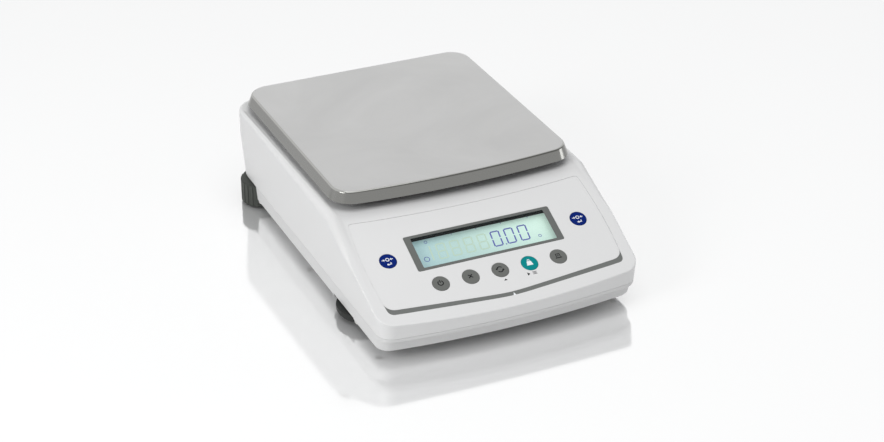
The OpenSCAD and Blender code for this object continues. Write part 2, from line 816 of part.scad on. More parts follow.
// Flat cable from the key board to the main board, round the weigh cell
ribbon_x = -cell_w / 2 - 11;
ribbon_w = 14;
ribbon_t = 0.8;
ribbon_header_y = main_board_y - main_board_d / 2 + 12;
module ribbon_cable() {
    u = board_high - 8;
    start_y = key_row_y + u * cos(panel_angle) + (board_depth + board_t) * sin(panel_angle);
    start_z = key_row_z + u * sin(panel_angle) - (board_depth + board_t) * cos(panel_angle);
    low = front_bay_z + wall + free;
    back = main_board_y - main_board_d / 2 - 3;
    top = main_board_z + board_t + 7;
    t = ribbon_t;
    color("lightgray")
        translate([ribbon_x, 0, 0])
        across([[start_y, start_z - 0.5], [start_y, low], [back + t, low], [back + t, top - t],
            [ribbon_header_y - t, top - t], [ribbon_header_y - t, top - 2],
            [ribbon_header_y, top - 2], [ribbon_header_y, top], [back, top], [back, low + t],
            [start_y + t, low + t], [start_y + t, start_z - 0.1]], ribbon_w);
}

// Heights and places in the weigh cell, from its base up
cell_base_t = 6;
lower_guide_z = cell_z + cell_base_t + 1;
upper_guide_z = well_z - guide_drop;
clamp_t = 2.4;
cell_back_y = pan_y + 8;
column_d = 16;
column_y = hinge_y - 2 - column_d;
fulcrum_y = pan_y - lever_short - lever_short;
link_y = fulcrum_y + lever_short;
coil_y = hinge_y + coil_in;
lever_long = fulcrum_y - coil_y;
lever_t = 6;
lever_z = upper_guide_z - 13.5;
pot_h = 24;
pot_z = cell_z + cell_base_t;
core_r = 9;
gap_outer_r = pot_r - 5;
coil_inner_r = core_r + 1.7;
coil_outer_r = gap_outer_r - 1.6;
hub_r = 5;
hub_top_z = pan_top_z - pan_sheet - 7;
guide_screw_places = [[cell_w / 2 - 9, pan_y - 3], [cell_w / 2 - 9, hinge_y - 9]];

// Aluminium frame: base plate, slotted column and fulcrum post
module cell_frame() {
    color("silver")
        difference() {
            union() {
                translate([-cell_w / 2, column_y, cell_z])
                    cube([cell_w, cell_back_y - column_y, cell_base_t]);
                translate([-cell_w / 2 + 1, column_y, cell_z])
                    cube([cell_w - 2, column_d, upper_guide_z - cell_z - seat]);
                mirrored_x()
                    translate([cell_w / 2 - 2.5, column_y, cell_z])
                        side_rib();
                translate([-9, fulcrum_y - 4, cell_z])
                    cube([18, 8, lever_z - 2 - cell_z]);
            }
            translate([-cell_w / 2 + 3, column_y - 1, lower_guide_z - free])
                cube([cell_w - 6, column_d + 2, guide_t + 2 * free]);
            translate([-14, column_y - 1, lower_guide_z + guide_t + 3])
                cube([28, column_d + 2, lever_z - lower_guide_z - guide_t - 9]);
            translate([-6, fulcrum_y - 0.6, lever_z - 9])
                cube([12, 1.2, 10]);
            mirrored_x() {
                for (p = cell_posts) {
                    translate([p[0], p[1], cell_z - 1])
                        cylinder(r = screw_r + screw_clear, h = cell_base_t + 3);
                    translate([p[0], p[1], cell_z + cell_base_t - 2])
                        cylinder(r = screw_head_r + free, h = 3);
                }
                translate([guide_screw_places[1][0], guide_screw_places[1][1], upper_guide_z - 8])
                    cylinder(r = screw_r, h = 9);
            }
            translate([0, pan_y, cell_z - 1])
                cylinder(r = 7, h = cell_base_t + 2);
        }
}

// Side rib that falls away from the column
module side_rib() {
    rotate([90, 0, 90])
        linear_extrude(height = 2.5)
        polygon([[0, 0], [cell_back_y - column_y, 0], [cell_back_y - column_y, cell_base_t + 2],
            [column_d + 26, cell_base_t + 2], [column_d, 30], [0, 30]]);
}

// Parallel guide: two arms with thinned flexures between end bars
module guide(z) {
    half = cell_w / 2 - 5;
    arm = half - pot_r - 0.8;
    front = hinge_y - 14;
    back = pan_y + 7;
    color("lightsteelblue")
        difference() {
            translate([-half, front, z])
                cube([2 * half, back - front, guide_t]);
            translate([-half + arm, hinge_y - 2, z - 1])
                cube([2 * half - 2 * arm, pan_y - 7 - hinge_y + 2, guide_t + 2]);
            for (y = [hinge_y, pan_y - 9])
                for (h = [-0.4, guide_t + 0.4])
                    translate([0, y, z + h])
                        rotate([0, 90, 0])
                        cylinder(r = guide_t / 2 - 0.15 + 0.4, h = cell_w, center = true);
            mirrored_x()
                for (p = guide_screw_places)
                    translate([p[0], p[1], z - 1])
                        cylinder(r = screw_r + 0.3, h = guide_t + 2);
            translate([0, pan_y, z - 1])
                cylinder(r = hub_r + 1.2, h = guide_t + 2);
        }
}
module upper_guide() { guide(upper_guide_z); }
module lower_guide() { guide(lower_guide_z); }

// Bars that hold the upper guide's ends
module clamp_bar(p, d) {
    difference() {
        translate([-cell_w / 2 + 5, p[1] - d / 2, upper_guide_z + guide_t + seat])
            cube([cell_w - 10, d, clamp_t]);
        mirrored_x()
            translate([p[0], p[1], upper_guide_z])
                cylinder(r = screw_r + screw_clear, h = 12);
        translate([0, pan_y, upper_guide_z])
            cylinder(r = hub_r + 1.2, h = 12);
    }
}
module guide_clamp() {
    color("silver")
        clamp_bar(guide_screw_places[1], 8);
}
module receptor_clamp() {
    color("silver")
        clamp_bar(guide_screw_places[0], 8);
}
module cell_screws() {
    color("dimgray")
        mirrored_x() {
            for (p = cell_posts)
                translate([p[0], p[1], cell_z + cell_base_t - 2])
                    cap_screw(8);
            translate([guide_screw_places[1][0], guide_screw_places[1][1],
                upper_guide_z + guide_t + clamp_t + seat])
                cap_screw(10);
        }
}
module cap_screw(length) {
    difference() {
        union() {
            cylinder(r = screw_head_r, h = 1.8);
            translate([0, 0, -length + 0.2])
                cylinder(r = screw_r - 0.02, h = length);
        }
        translate([0, 0, 0.8])
            cylinder(r = 1.1, h = 2, $fn = 6);
    }
}

// Block that carries the pan, with the cone pin above and the link's arm inside
module load_receptor() {
    z0 = lower_guide_z + guide_t + seat;
    z1 = upper_guide_z - seat;
    color("gainsboro")
        difference() {
            union() {
                translate([-22, pan_y - 7, z0])
                    cube([44, 14, z1 - z0]);
                translate([0, pan_y, z1 - 1])
                    cylinder(r = hub_r, h = hub_top_z - 3 - z1 + 1);
                translate([0, pan_y, hub_top_z - 3])
                    cylinder(r1 = hub_r, r2 = hub_r - 1.5, h = 3);
                translate([-5, link_y - 3, z0 + 4])
                    cube([10, pan_y - link_y, 5]);
            }
            translate([-14, pan_y - 8, z0 + 13])
                cube([28, 16, z1 - z0 - 21]);
            mirrored_x()
                translate([guide_screw_places[0][0], guide_screw_places[0][1], z1 - 8])
                    cylinder(r = screw_r, h = 9);
        }
}
module coupling_link() {
    z0 = lower_guide_z + guide_t + seat + 9;
    color("silver")
        translate([-3, link_y - 0.15, z0])
        cube([6, 0.3, lever_z - z0 - free]);
}

// Lever with its flexure strip, coil seat and sensor vane
module transmission_lever() {
    color("lightgray")
        difference() {
            union() {
                translate([-6, coil_y - 12, lever_z])
                    cube([12, link_y + 3 - coil_y + 12, lever_t]);
                translate([-5, fulcrum_y - 0.15, lever_z - 8])
                    cube([10, 0.3, 8.5]);
                translate([0, coil_y, lever_z - 1.5])
                    cylinder(r = 8, h = 2);
                translate([-0.4, coil_y - 18, lever_z + 1])
                    cube([0.8, 7, 4]);
            }
            for (k = [0.3, 0.6])
                translate([0, coil_y + k * lever_long, lever_z - 1])
                    cylinder(r = 3.6, h = lever_t + 2);
        }
}
module magnet_pot() {
    color("dimgray")
        translate([0, coil_y, pot_z])
        difference() {
            cylinder(r = pot_r, h = pot_h);
            translate([0, 0, 4])
                cylinder(r = gap_outer_r, h = pot_h);
        }
}
module magnet_core() {
    color("silver")
        translate([0, coil_y, pot_z + 4]) {
            cylinder(r = core_r - 0.6, h = pot_h - 8);
            translate([0, 0, pot_h - 8.1])
                cylinder(r = core_r, h = 4);
        }
}
module coil() {
    color("peru")
        translate([0, coil_y, lever_z - 1.5]) {
            translate([0, 0, -2])
                cylinder(r = coil_outer_r, h = 2);
            translate([0, 0, -pot_h / 2 - 1])
                difference() {
                    cylinder(r = coil_outer_r, h = pot_h / 2);
                    translate([0, 0, -1])
                        cylinder(r = coil_inner_r, h = pot_h);
                }
        }
}
module position_sensor() {
    front = column_y + column_d;
    color("black")
        translate([-8, front, lever_z - 4])
        difference() {
            cube([16, coil_y - 12.6 - front, 13]);
            translate([6.6, -1, 2.5])
                cube([2.8, 20, 12]);
        }
}

// Outline of the pan's face, its front edge bowed, and its flared rim
pan_bow_r = (pow(pan_w / 2, 2) + pow(pan_bow, 2)) / (2 * pan_bow);
pan_places = outline_places(pan_w / 2, pan_front_y, pan_y + pan_d / 2, pan_r, pan_r, pan_bow_r, []);
pan_tilt = atan(pan_flare / pan_rim_h);
function pan_ring(z, d) = ring(inset(pan_places, d), z);
function pan_wall_ring(z, sheet) =
    pan_ring(z, sheet / cos(pan_tilt) - (pan_top_z - z) * tan(pan_tilt));
function pan_edge_rings(r, steps) = [for (i = [0:steps])
    let (a = pan_tilt + (90 - pan_tilt) * i / steps)
    pan_ring(pan_top_z - pan_edge_r + r * sin(a),
        pan_edge_r * (1 / cos(pan_tilt) - tan(pan_tilt)) - r * cos(a))];
module weighing_pan() {
    color("silver")
        difference() {
            skin(concat([pan_wall_ring(pan_rim_z, 0)], pan_edge_rings(pan_edge_r, 5)));
            skin(concat([pan_wall_ring(pan_rim_z - 1, pan_sheet)],
                pan_edge_rings(pan_edge_r - pan_sheet, 3)));
        }
}

// Cast cross under the pan, with its socket, skirt and buffer seats
support_z = pan_top_z - pan_sheet - 7;
buffer_r = 6;
buffer_in = 20;
buffer_x = pan_w / 2 - buffer_in;
buffer_y = pan_d / 2 - buffer_in;
module pan_support() {
    reach = round(10 * sqrt(pow(buffer_x, 2) + pow(buffer_y, 2))) / 10;
    swing = round(100 * atan2(buffer_y, buffer_x)) / 100;
    color("lightgray")
        difference() {
            translate([0, pan_y, 0])
                union() {
                    translate([0, 0, support_z])
                        cylinder(r = 26, h = 3);
                    translate([0, 0, hub_top_z - 5])
                        cylinder(r = 9, h = 8);
                    difference() {
                        translate([0, 0, support_z - 4.4])
                            cylinder(r = collar_r + 3.4, h = 5);
                        translate([0, 0, support_z - 5])
                            cylinder(r = collar_r + 1.6, h = 5);
                    }
                    for (a = [swing, 180 - swing, 180 + swing, -swing])
                        rotate([0, 0, a]) {
                            translate([20, -5, support_z])
                                cube([reach - 20, 10, 3]);
                            translate([22, -1.2, support_z - 1.8])
                                cube([reach - 24, 2.4, 2.4]);
                            translate([reach, 0, support_z])
                                cylinder(r = 8.5, h = 4);
                        }
                    for (s = [-1, 1]) {
                        translate([-buffer_x, s * buffer_y - 3, support_z])
                            cube([2 * buffer_x, 6, 3]);
                        translate([s * buffer_x - 3, -buffer_y, support_z])
                            cube([6, 2 * buffer_y, 3]);
                    }
                }
            translate([0, pan_y, 0]) {
                translate([0, 0, hub_top_z - 6])
                    cylinder(r = hub_r + run_clear, h = 6);
                for (x = [-buffer_x, buffer_x])
                    for (y = [-buffer_y, buffer_y])
                        translate([x, y, support_z + 2])
                            cylinder(r = buffer_r + seat, h = 4);
            }
        }
}
module pan_buffers() {
    color("dimgray")
        translate([0, pan_y, support_z + 2])
        for (x = [-buffer_x, buffer_x])
            for (y = [-buffer_y, buffer_y])
                translate([x, y, 0])
                    cylinder(r = buffer_r, h = pan_top_z - pan_sheet - support_z - 2);
}

// Levelling wheel with finger ribs, its spindle and the socket for the pad's pin
module wheel(p, r, h, ribs, depth, bay_z) {
    pin = 1.8;
    grip = [for (i = [0:ribs - 1]) each [for (q = [0:3])
        let (a = (i + q / 4) * 360 / ribs)
        let (d = q < 2 ? r : r - depth)
        [d * cos(a), d * sin(a)]]];
    color("dimgray")
        translate([p[0], p[1], 0])
        difference() {
            union() {
                intersection() {
                    translate([0, 0, wheel_z])
                        linear_extrude(height = h)
                        polygon(grip);
                    translate([0, 0, wheel_z])
                        rotate_extrude()
                        polygon([[0, 0], [r - 1.2, 0], [r, 1.2], [r, h - 1.2], [r - 1.2, h], [0, h]]);
                }
                cylinder(r = spindle_r, h = bay_z + bush_h);
            }
            translate([0, 0, -1])
                cylinder(r = spindle_r + 1, h = wheel_z + 1);
            cylinder(r = pin + run_clear, h = wheel_z + 5);
        }
}
module pad(p, r) {
    color("black")
        translate([p[0], p[1], 0]) {
            cylinder(r = r, h = pad_h);
            translate([0, 0, pad_h - 0.2])
                cylinder(r = 1.8, h = 5);
        }
}
front_left = [-front_foot[0], front_foot[1]];
rear_left = [-rear_foot[0], rear_foot[1]];
module wheel_front_left() { wheel(front_left, front_wheel_r, front_wheel_h, 32, 0.8, front_bay_z); }
module wheel_front_right() { wheel(front_foot, front_wheel_r, front_wheel_h, 32, 0.8, front_bay_z); }
module wheel_rear_left() { wheel(rear_left, rear_wheel_r, rear_wheel_h, 26, 0.8, rear_bay_z); }
module wheel_rear_right() { wheel(rear_foot, rear_wheel_r, rear_wheel_h, 26, 0.8, rear_bay_z); }
module pad_front_left() { pad(front_left, 11); }
module pad_front_right() { pad(front_foot, 11); }
module pad_rear_left() { pad(rear_left, 11); }
module pad_rear_right() { pad(rear_foot, 11); }
module foot_bushes() {
    color("goldenrod")
        for (f = [[front_foot, front_bay_z], [rear_foot, rear_bay_z]])
            for (s = [-1, 1])
                translate([s * f[0][0], f[0][1], f[1] + 0.4])
                    difference() {
                        cylinder(r = bush_r, h = bush_h - 0.4);
                        translate([0, 0, -1])
                            cylinder(r = spindle_r + run_clear, h = bush_h + 2);
                    }
}

upper_housing();
lower_housing();
overlay_film();
accent_strip();
display_frame();
display_window();
lcd_bezel();
lcd_glass();
lcd_backlight();
key_power();
key_clear();
key_toggle();
key_calibrate();
key_print();
key_tare_left();
key_tare_right();
key_board();
key_switches();
key_board_screws();
main_board();
main_board_parts();
main_board_screws();
power_socket();
data_socket();
ribbon_cable();
cell_frame();
upper_guide();
lower_guide();
guide_clamp();
receptor_clamp();
load_receptor();
coupling_link();
transmission_lever();
magnet_pot();
magnet_core();
coil();
position_sensor();
cell_screws();
housing_screws();
underhook_cover();
weighing_pan();
pan_support();
pan_buffers();
wheel_front_left();
wheel_front_right();
wheel_rear_left();
wheel_rear_right();
pad_front_left();
pad_front_right();
pad_rear_left();
pad_rear_right();
foot_bushes();
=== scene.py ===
"""Looks of a laboratory balance with a wide steel pan, modelled round its CAD frame.

Lengths are metres, +Z is up, and the nose with its key panel faces -Y. Panel places are
given as (x, u): x across, u up the slope from the row of keys.
"""

import logging
import math
from collections.abc import Callable
from dataclasses import dataclass, field, replace
from enum import Enum

import bmesh
import bpy
from bpy.types import Material, Node, NodeSocket, Object
from mathutils import Matrix, Vector


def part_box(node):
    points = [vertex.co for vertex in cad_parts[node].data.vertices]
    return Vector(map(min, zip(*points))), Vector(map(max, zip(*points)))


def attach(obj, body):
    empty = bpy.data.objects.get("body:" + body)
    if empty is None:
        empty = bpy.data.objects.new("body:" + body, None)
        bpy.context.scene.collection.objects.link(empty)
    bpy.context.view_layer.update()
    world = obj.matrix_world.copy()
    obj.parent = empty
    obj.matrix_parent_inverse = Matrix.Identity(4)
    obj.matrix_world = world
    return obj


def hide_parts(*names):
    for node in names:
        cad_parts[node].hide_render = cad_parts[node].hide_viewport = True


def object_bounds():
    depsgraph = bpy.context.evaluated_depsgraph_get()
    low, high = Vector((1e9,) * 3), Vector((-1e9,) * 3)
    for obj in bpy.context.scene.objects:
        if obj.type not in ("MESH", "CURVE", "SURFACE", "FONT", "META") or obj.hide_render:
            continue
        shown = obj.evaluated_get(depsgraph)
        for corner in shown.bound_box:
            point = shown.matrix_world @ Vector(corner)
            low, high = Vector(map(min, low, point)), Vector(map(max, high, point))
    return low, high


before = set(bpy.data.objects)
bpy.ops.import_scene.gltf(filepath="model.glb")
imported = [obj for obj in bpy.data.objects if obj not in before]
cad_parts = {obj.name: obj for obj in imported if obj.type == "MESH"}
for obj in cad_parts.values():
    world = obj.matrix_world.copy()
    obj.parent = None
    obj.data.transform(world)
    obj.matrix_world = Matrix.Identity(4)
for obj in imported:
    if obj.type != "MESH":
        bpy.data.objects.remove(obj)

LOG = logging.getLogger("balance")
CAD_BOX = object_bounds()
MM = 0.001
# Points of a copied mesh closer than MERGE become one, and faces that bend less than FLAT are joined.
MERGE = 0.002 * MM
FLAT = math.radians(0.6)
# Most values of a noise lie between these two.
NOISE_LOW = 0.3
NOISE_HIGH = 0.7
MADE: dict[str, Material] = {}


def linear(value: float) -> float:
    """Return the linear light value of one sRGB channel."""
    return value / 12.92 if value <= 0.04045 else ((value + 0.055) / 1.055) ** 2.4


def srgb(red: float, green: float, blue: float) -> tuple[float, float, float, float]:
    """Return the linear colour that shows as the given sRGB colour.

    Args:
        red, green, blue: channels from 0 to 1, as seen.
    Returns:
        The colour with an alpha of 1, for a shader socket.
    """
    return (linear(red), linear(green), linear(blue), 1.0)


class Axis(Enum):
    """Directions in which a primitive's own Z axis may point."""

    Y = (math.pi / 2, 0.0, 0.0)
    Z = (0.0, 0.0, 0.0)


class NodeMaker:
    """Small helper that adds shader nodes and links to one material."""

    def __init__(self, name: str) -> None:
        """Start an empty node material.

        Args:
            name: the material's name.
        """
        self.material = bpy.data.materials.new(name)
        self.material.use_nodes = True
        self.tree = self.material.node_tree
        self.tree.nodes.clear()

    def add(self, kind: str, **values: object) -> Node:
        """Add one node.

        Args:
            kind: the node's Blender type, without the ShaderNode prefix.
            values: node properties, or input values by their socket name with _ for a space.
        Returns:
            The new node.
        """
        node = self.tree.nodes.new("ShaderNode" + kind)
        for key, value in values.items():
            socket = node.inputs.get(key.replace("_", " "))
            if socket is not None:
                socket.default_value = value
            else:
                setattr(node, key, value)
        return node

    def link(self, source: NodeSocket, target: NodeSocket) -> None:
        """Join an output socket to an input socket."""
        self.tree.links.new(source, target)

    def finish(self, shader: Node) -> Material:
        """Join a shader to the material's output.

        Args:
            shader: the node that gives the surface.
        Returns:
            The finished material.
        """
        output = self.add("OutputMaterial")
        self.link(shader.outputs[0], output.inputs["Surface"])
        return self.material

    def noise(self, scale: float, detail: float, stretch: tuple = (1, 1, 1)) -> NodeSocket:
        """Return the value of a noise pattern fixed to the piece.

        Args:
            scale: cells per metre.
            detail: octaves of the noise.
            stretch: factors on the three axes, smaller along a grain.
        Returns:
            The noise's factor socket.
        """
        place = self.add("TexCoord")
        turn = self.add("Mapping", Scale=stretch)
        pattern = self.add("TexNoise", Scale=scale, Detail=detail, Roughness=0.55)
        self.link(place.outputs["Object"], turn.inputs["Vector"])
        self.link(turn.outputs["Vector"], pattern.inputs["Vector"])
        return pattern.outputs["Fac"]

    def ranged(self, source: NodeSocket, low: float, high: float) -> NodeSocket:
        """Stretch a noise's middle range to two values.

        Args:
            source: the noise's value.
            low, high: what the ends of the range become.
        Returns:
            The stretched value's socket.
        """
        fit = self.add("MapRange", From_Min=NOISE_LOW, From_Max=NOISE_HIGH, To_Min=low, To_Max=high)
        self.link(source, fit.inputs["Value"])
        return fit.outputs["Result"]

    def along(self, vector: NodeSocket, axis: str, low: float, high: float) -> NodeSocket:
        """Measure how far a vector runs along an axis.

        Args:
            vector: the vector's socket.
            axis: X, Y or Z.
            low, high: the lengths that give 0 and 1.
        Returns:
            The socket of the share, from 0 to 1.
        """
        split = self.add("SeparateXYZ")
        fit = self.add("MapRange", From_Min=low, From_Max=high)
        self.link(vector, split.inputs["Vector"])
        self.link(split.outputs[axis], fit.inputs["Value"])
        return fit.outputs["Result"]

    def facing(self, axis: str, low: float, high: float) -> NodeSocket:
        """Return how far the surface's normal runs along an axis, from low (0) to high (1)."""
        return self.along(self.add("NewGeometry").outputs["Normal"], axis, low, high)

    def mixed(self, share: NodeSocket, low: object, high: object) -> NodeSocket:
        """Mix two colours, each a socket or a fixed colour.

        Args:
            share: the share of the second colour, from 0 to 1.
            low, high: the first and the second colour.
        Returns:
            The mixed colour's socket.
        """
        mix = self.add("Mix", data_type="RGBA")
        self.link(share, mix.inputs["Factor"])
        for socket, colour in zip([s for s in mix.inputs if s.type == "RGBA"], (low, high)):
            if isinstance(colour, tuple):
                socket.default_value = colour
            else:
                self.link(colour, socket)
        return next(s for s in mix.outputs if s.type == "RGBA")

    def tinted(self, colour: tuple, source: NodeSocket, spread: float) -> NodeSocket:
        """Make a colour darker and lighter along a pattern.

        Args:
            colour: the middle colour.
            source: the pattern's value.
            spread: the share by which the colour falls and rises.
        Returns:
            The colour's socket.
        """
        ramp = self.add("ValToRGB")
        dark, pale = ramp.color_ramp.elements
        dark.position, pale.position = NOISE_LOW, NOISE_HIGH
        dark.color = tuple(c * (1 - spread) for c in colour[:3]) + (1.0,)
        pale.color = tuple(min(1.0, c * (1 + spread)) for c in colour[:3]) + (1.0,)
        self.link(source, ramp.inputs["Fac"])
        return ramp.outputs["Color"]


@dataclass(frozen=True)
class Finish:
    """A solid finish with a grain, a slight change of tone and an uneven gloss."""

    name: str
    colour: tuple
    slot: str
    roughness: float = 0.5
    metallic: float = 0.0
    gloss: float = 0.5
    grain: float = 2500.0
    grain_detail: float = 2.0
    grain_depth: float = 0.01 * MM
    bump: float = 0.15
    cloud: float = 18.0
    cloud_detail: float = 4.0
    spread: float = 0.02
    uneven: float = 0.04
    stretch: tuple = (1.0, 1.0, 1.0)
    glow: float = 0.0

    def build(self) -> Material:
        """Make the finish's node material, once.

        Returns:
            The material.
        """
        if self.name in MADE:
            return MADE[self.name]
        maker = NodeMaker(self.name)
        shader = maker.add("BsdfPrincipled", Metallic=self.metallic, Specular_IOR_Level=self.gloss)
        cloud = maker.noise(self.cloud, self.cloud_detail)
        grain = maker.noise(self.grain, self.grain_detail, self.stretch)
        tone = self.tone(maker, cloud)
        maker.link(tone, shader.inputs["Base Color"])
        maker.link(self.matt(maker, cloud), shader.inputs["Roughness"])
        bump = maker.add("Bump", Strength=self.bump, Distance=self.grain_depth)
        maker.link(grain, bump.inputs["Height"])
        maker.link(bump.outputs["Normal"], shader.inputs["Normal"])
        if self.glow:
            maker.link(tone, shader.inputs["Emission Color"])
            shader.inputs["Emission Strength"].default_value = self.glow
        MADE[self.name] = maker.finish(shader)
        return MADE[self.name]

    def tone(self, maker: NodeMaker, cloud: NodeSocket) -> NodeSocket:
        """Return the colour socket of the finish."""
        return maker.tinted(self.colour, cloud, self.spread)

    def matt(self, maker: NodeMaker, cloud: NodeSocket) -> NodeSocket:
        """Return the roughness socket of the finish."""
        return maker.ranged(cloud, self.roughness - self.uneven, self.roughness + self.uneven)


@dataclass(frozen=True)
class SatinSteel(Finish):
    """Rubbed stainless sheet with faint swirls on its face and a smoother rim, whose deeper tones are
    painted reflection: darker to the front and paler to the sides.
    """

    # The rim's front and side colours, and those at its bend, are painted reflection, picked by the way the
    # normal faces.
    front: tuple = (0.1, 0.1, 0.1, 1.0)
    side: tuple = (0.2, 0.2, 0.2, 1.0)
    front_bend_painted_reflection: tuple = (0.1, 0.1, 0.1, 1.0)
    side_bend_painted_reflection: tuple = (0.2, 0.2, 0.2, 1.0)
    swirl: float = 7.0
    rim_roughness: float = 0.16
    level: tuple = (0.93, 0.99)
    bend: tuple = (0.42, 0.62)
    forward: tuple = (-0.65, -0.35)

    def tone(self, maker: NodeMaker, cloud: NodeSocket) -> NodeSocket:
        """Give level faces a swirled tone and upright ones the rim's painted reflection tones, darker to the
        front and paler to the sides.

        Args:
            maker: the material's node maker.
            cloud: the slow noise, which this finish doesn't use.
        Returns:
            The colour's socket.
        """
        warp = maker.add("TexNoise", Scale=self.swirl, Detail=5.0, Roughness=0.6, Distortion=2.2)
        place = maker.add("TexCoord")
        maker.link(place.outputs["Object"], warp.inputs["Vector"])
        face = maker.tinted(self.colour, warp.outputs["Fac"], self.spread)
        # Painted reflection: the rim's colour follows its normal, darker to the front and paler to the
        # sides.
        bend = maker.facing("Z", *self.bend)
        front = maker.mixed(bend, self.front, self.front_bend_painted_reflection)
        side = maker.mixed(bend, self.side, self.side_bend_painted_reflection)
        rim = maker.mixed(maker.facing("Y", *self.forward), front, side)
        return maker.mixed(maker.facing("Z", *self.level), rim, face)

    def matt(self, maker: NodeMaker, cloud: NodeSocket) -> NodeSocket:
        """Make the rim smoother than the rubbed face.

        Args:
            maker: the material's node maker.
            cloud: the slow noise, which this finish doesn't use.
        Returns:
            The roughness socket.
        """
        blend = maker.add("MapRange", To_Min=self.rim_roughness, To_Max=self.roughness)
        maker.link(maker.facing("Z", *self.level), blend.inputs["Value"])
        return blend.outputs["Result"]


@dataclass(frozen=True)
class DisplayFace(Finish):
    """Pale display that runs from cyan at its left end to a yellower green at the top right; its rise in
    brightness to the right is partly its own tint and partly painted light against the shade of its recess.
    """

    # left and right differ in hue by the display's own tint, and in brightness partly by painted light
    # against the shade of its recess.
    left: tuple = (0.6, 0.8, 0.8, 1.0)
    right: tuple = (0.8, 0.85, 0.6, 1.0)
    across: tuple = (-56 * MM, 56 * MM)
    upward: tuple = (-140 * MM, -90 * MM)
    middle_at: float = 0.35

    def tone(self, maker: NodeMaker, cloud: NodeSocket) -> NodeSocket:
        """Run the colours across and up the panel, brighter to the right partly as painted light against the
        recess's shade.

        Args:
            maker: the material's node maker.
            cloud: the slow noise, which this finish doesn't use.
        Returns:
            The colour's socket.
        """
        place = maker.add("TexCoord").outputs["Object"]
        both = maker.add("Math", operation="MULTIPLY")
        maker.link(maker.along(place, "X", *self.across), both.inputs[0])
        maker.link(maker.along(place, "Y", *self.upward), both.inputs[1])
        ramp = maker.add("ValToRGB")
        ramp.color_ramp.elements[0].color = self.left
        ramp.color_ramp.elements[1].color = self.right
        middle = ramp.color_ramp.elements.new(self.middle_at)
        middle.color = self.colour
        maker.link(both.outputs["Value"], ramp.inputs["Fac"])
        return ramp.outputs["Color"]


@dataclass(frozen=True)
class ClearFilm(Finish):
    """Clear acrylic, seen only by its gloss and a faint cover of its own colour."""

    cover: float = 0.02

    def build(self) -> Material:
        """Make the see-through material, once.

        Returns:
            The material.
        """
        material = super().build()
        shader = next(n for n in material.node_tree.nodes if n.type == "BSDF_PRINCIPLED")
        shader.inputs["Alpha"].default_value = self.cover
        return material


@dataclass(frozen=True)
class BoardFinish(Finish):
    """Green solder mask over copper tracks on a fine square raster."""

    raster: float = 420.0
    track: tuple = (0.05, 0.2, 0.1, 1.0)
    edge: tuple = (0.32, 0.38)

    def tone(self, maker: NodeMaker, cloud: NodeSocket) -> NodeSocket:
        """Colour the mask green, and paler where a track runs below it.

        Args:
            maker: the material's node maker.
            cloud: the slow noise, which this finish doesn't use.
        Returns:
            The colour's socket.
        """
        place = maker.add("TexCoord")
        cells = maker.add("TexVoronoi", Scale=self.raster, distance="CHEBYCHEV", Randomness=0.6)
        maker.link(place.outputs["Object"], cells.inputs["Vector"])
        edge = maker.add("MapRange", From_Min=self.edge[0], From_Max=self.edge[1])
        maker.link(cells.outputs["Distance"], edge.inputs["Value"])
        return maker.mixed(edge.outputs["Result"], self.colour, self.track)


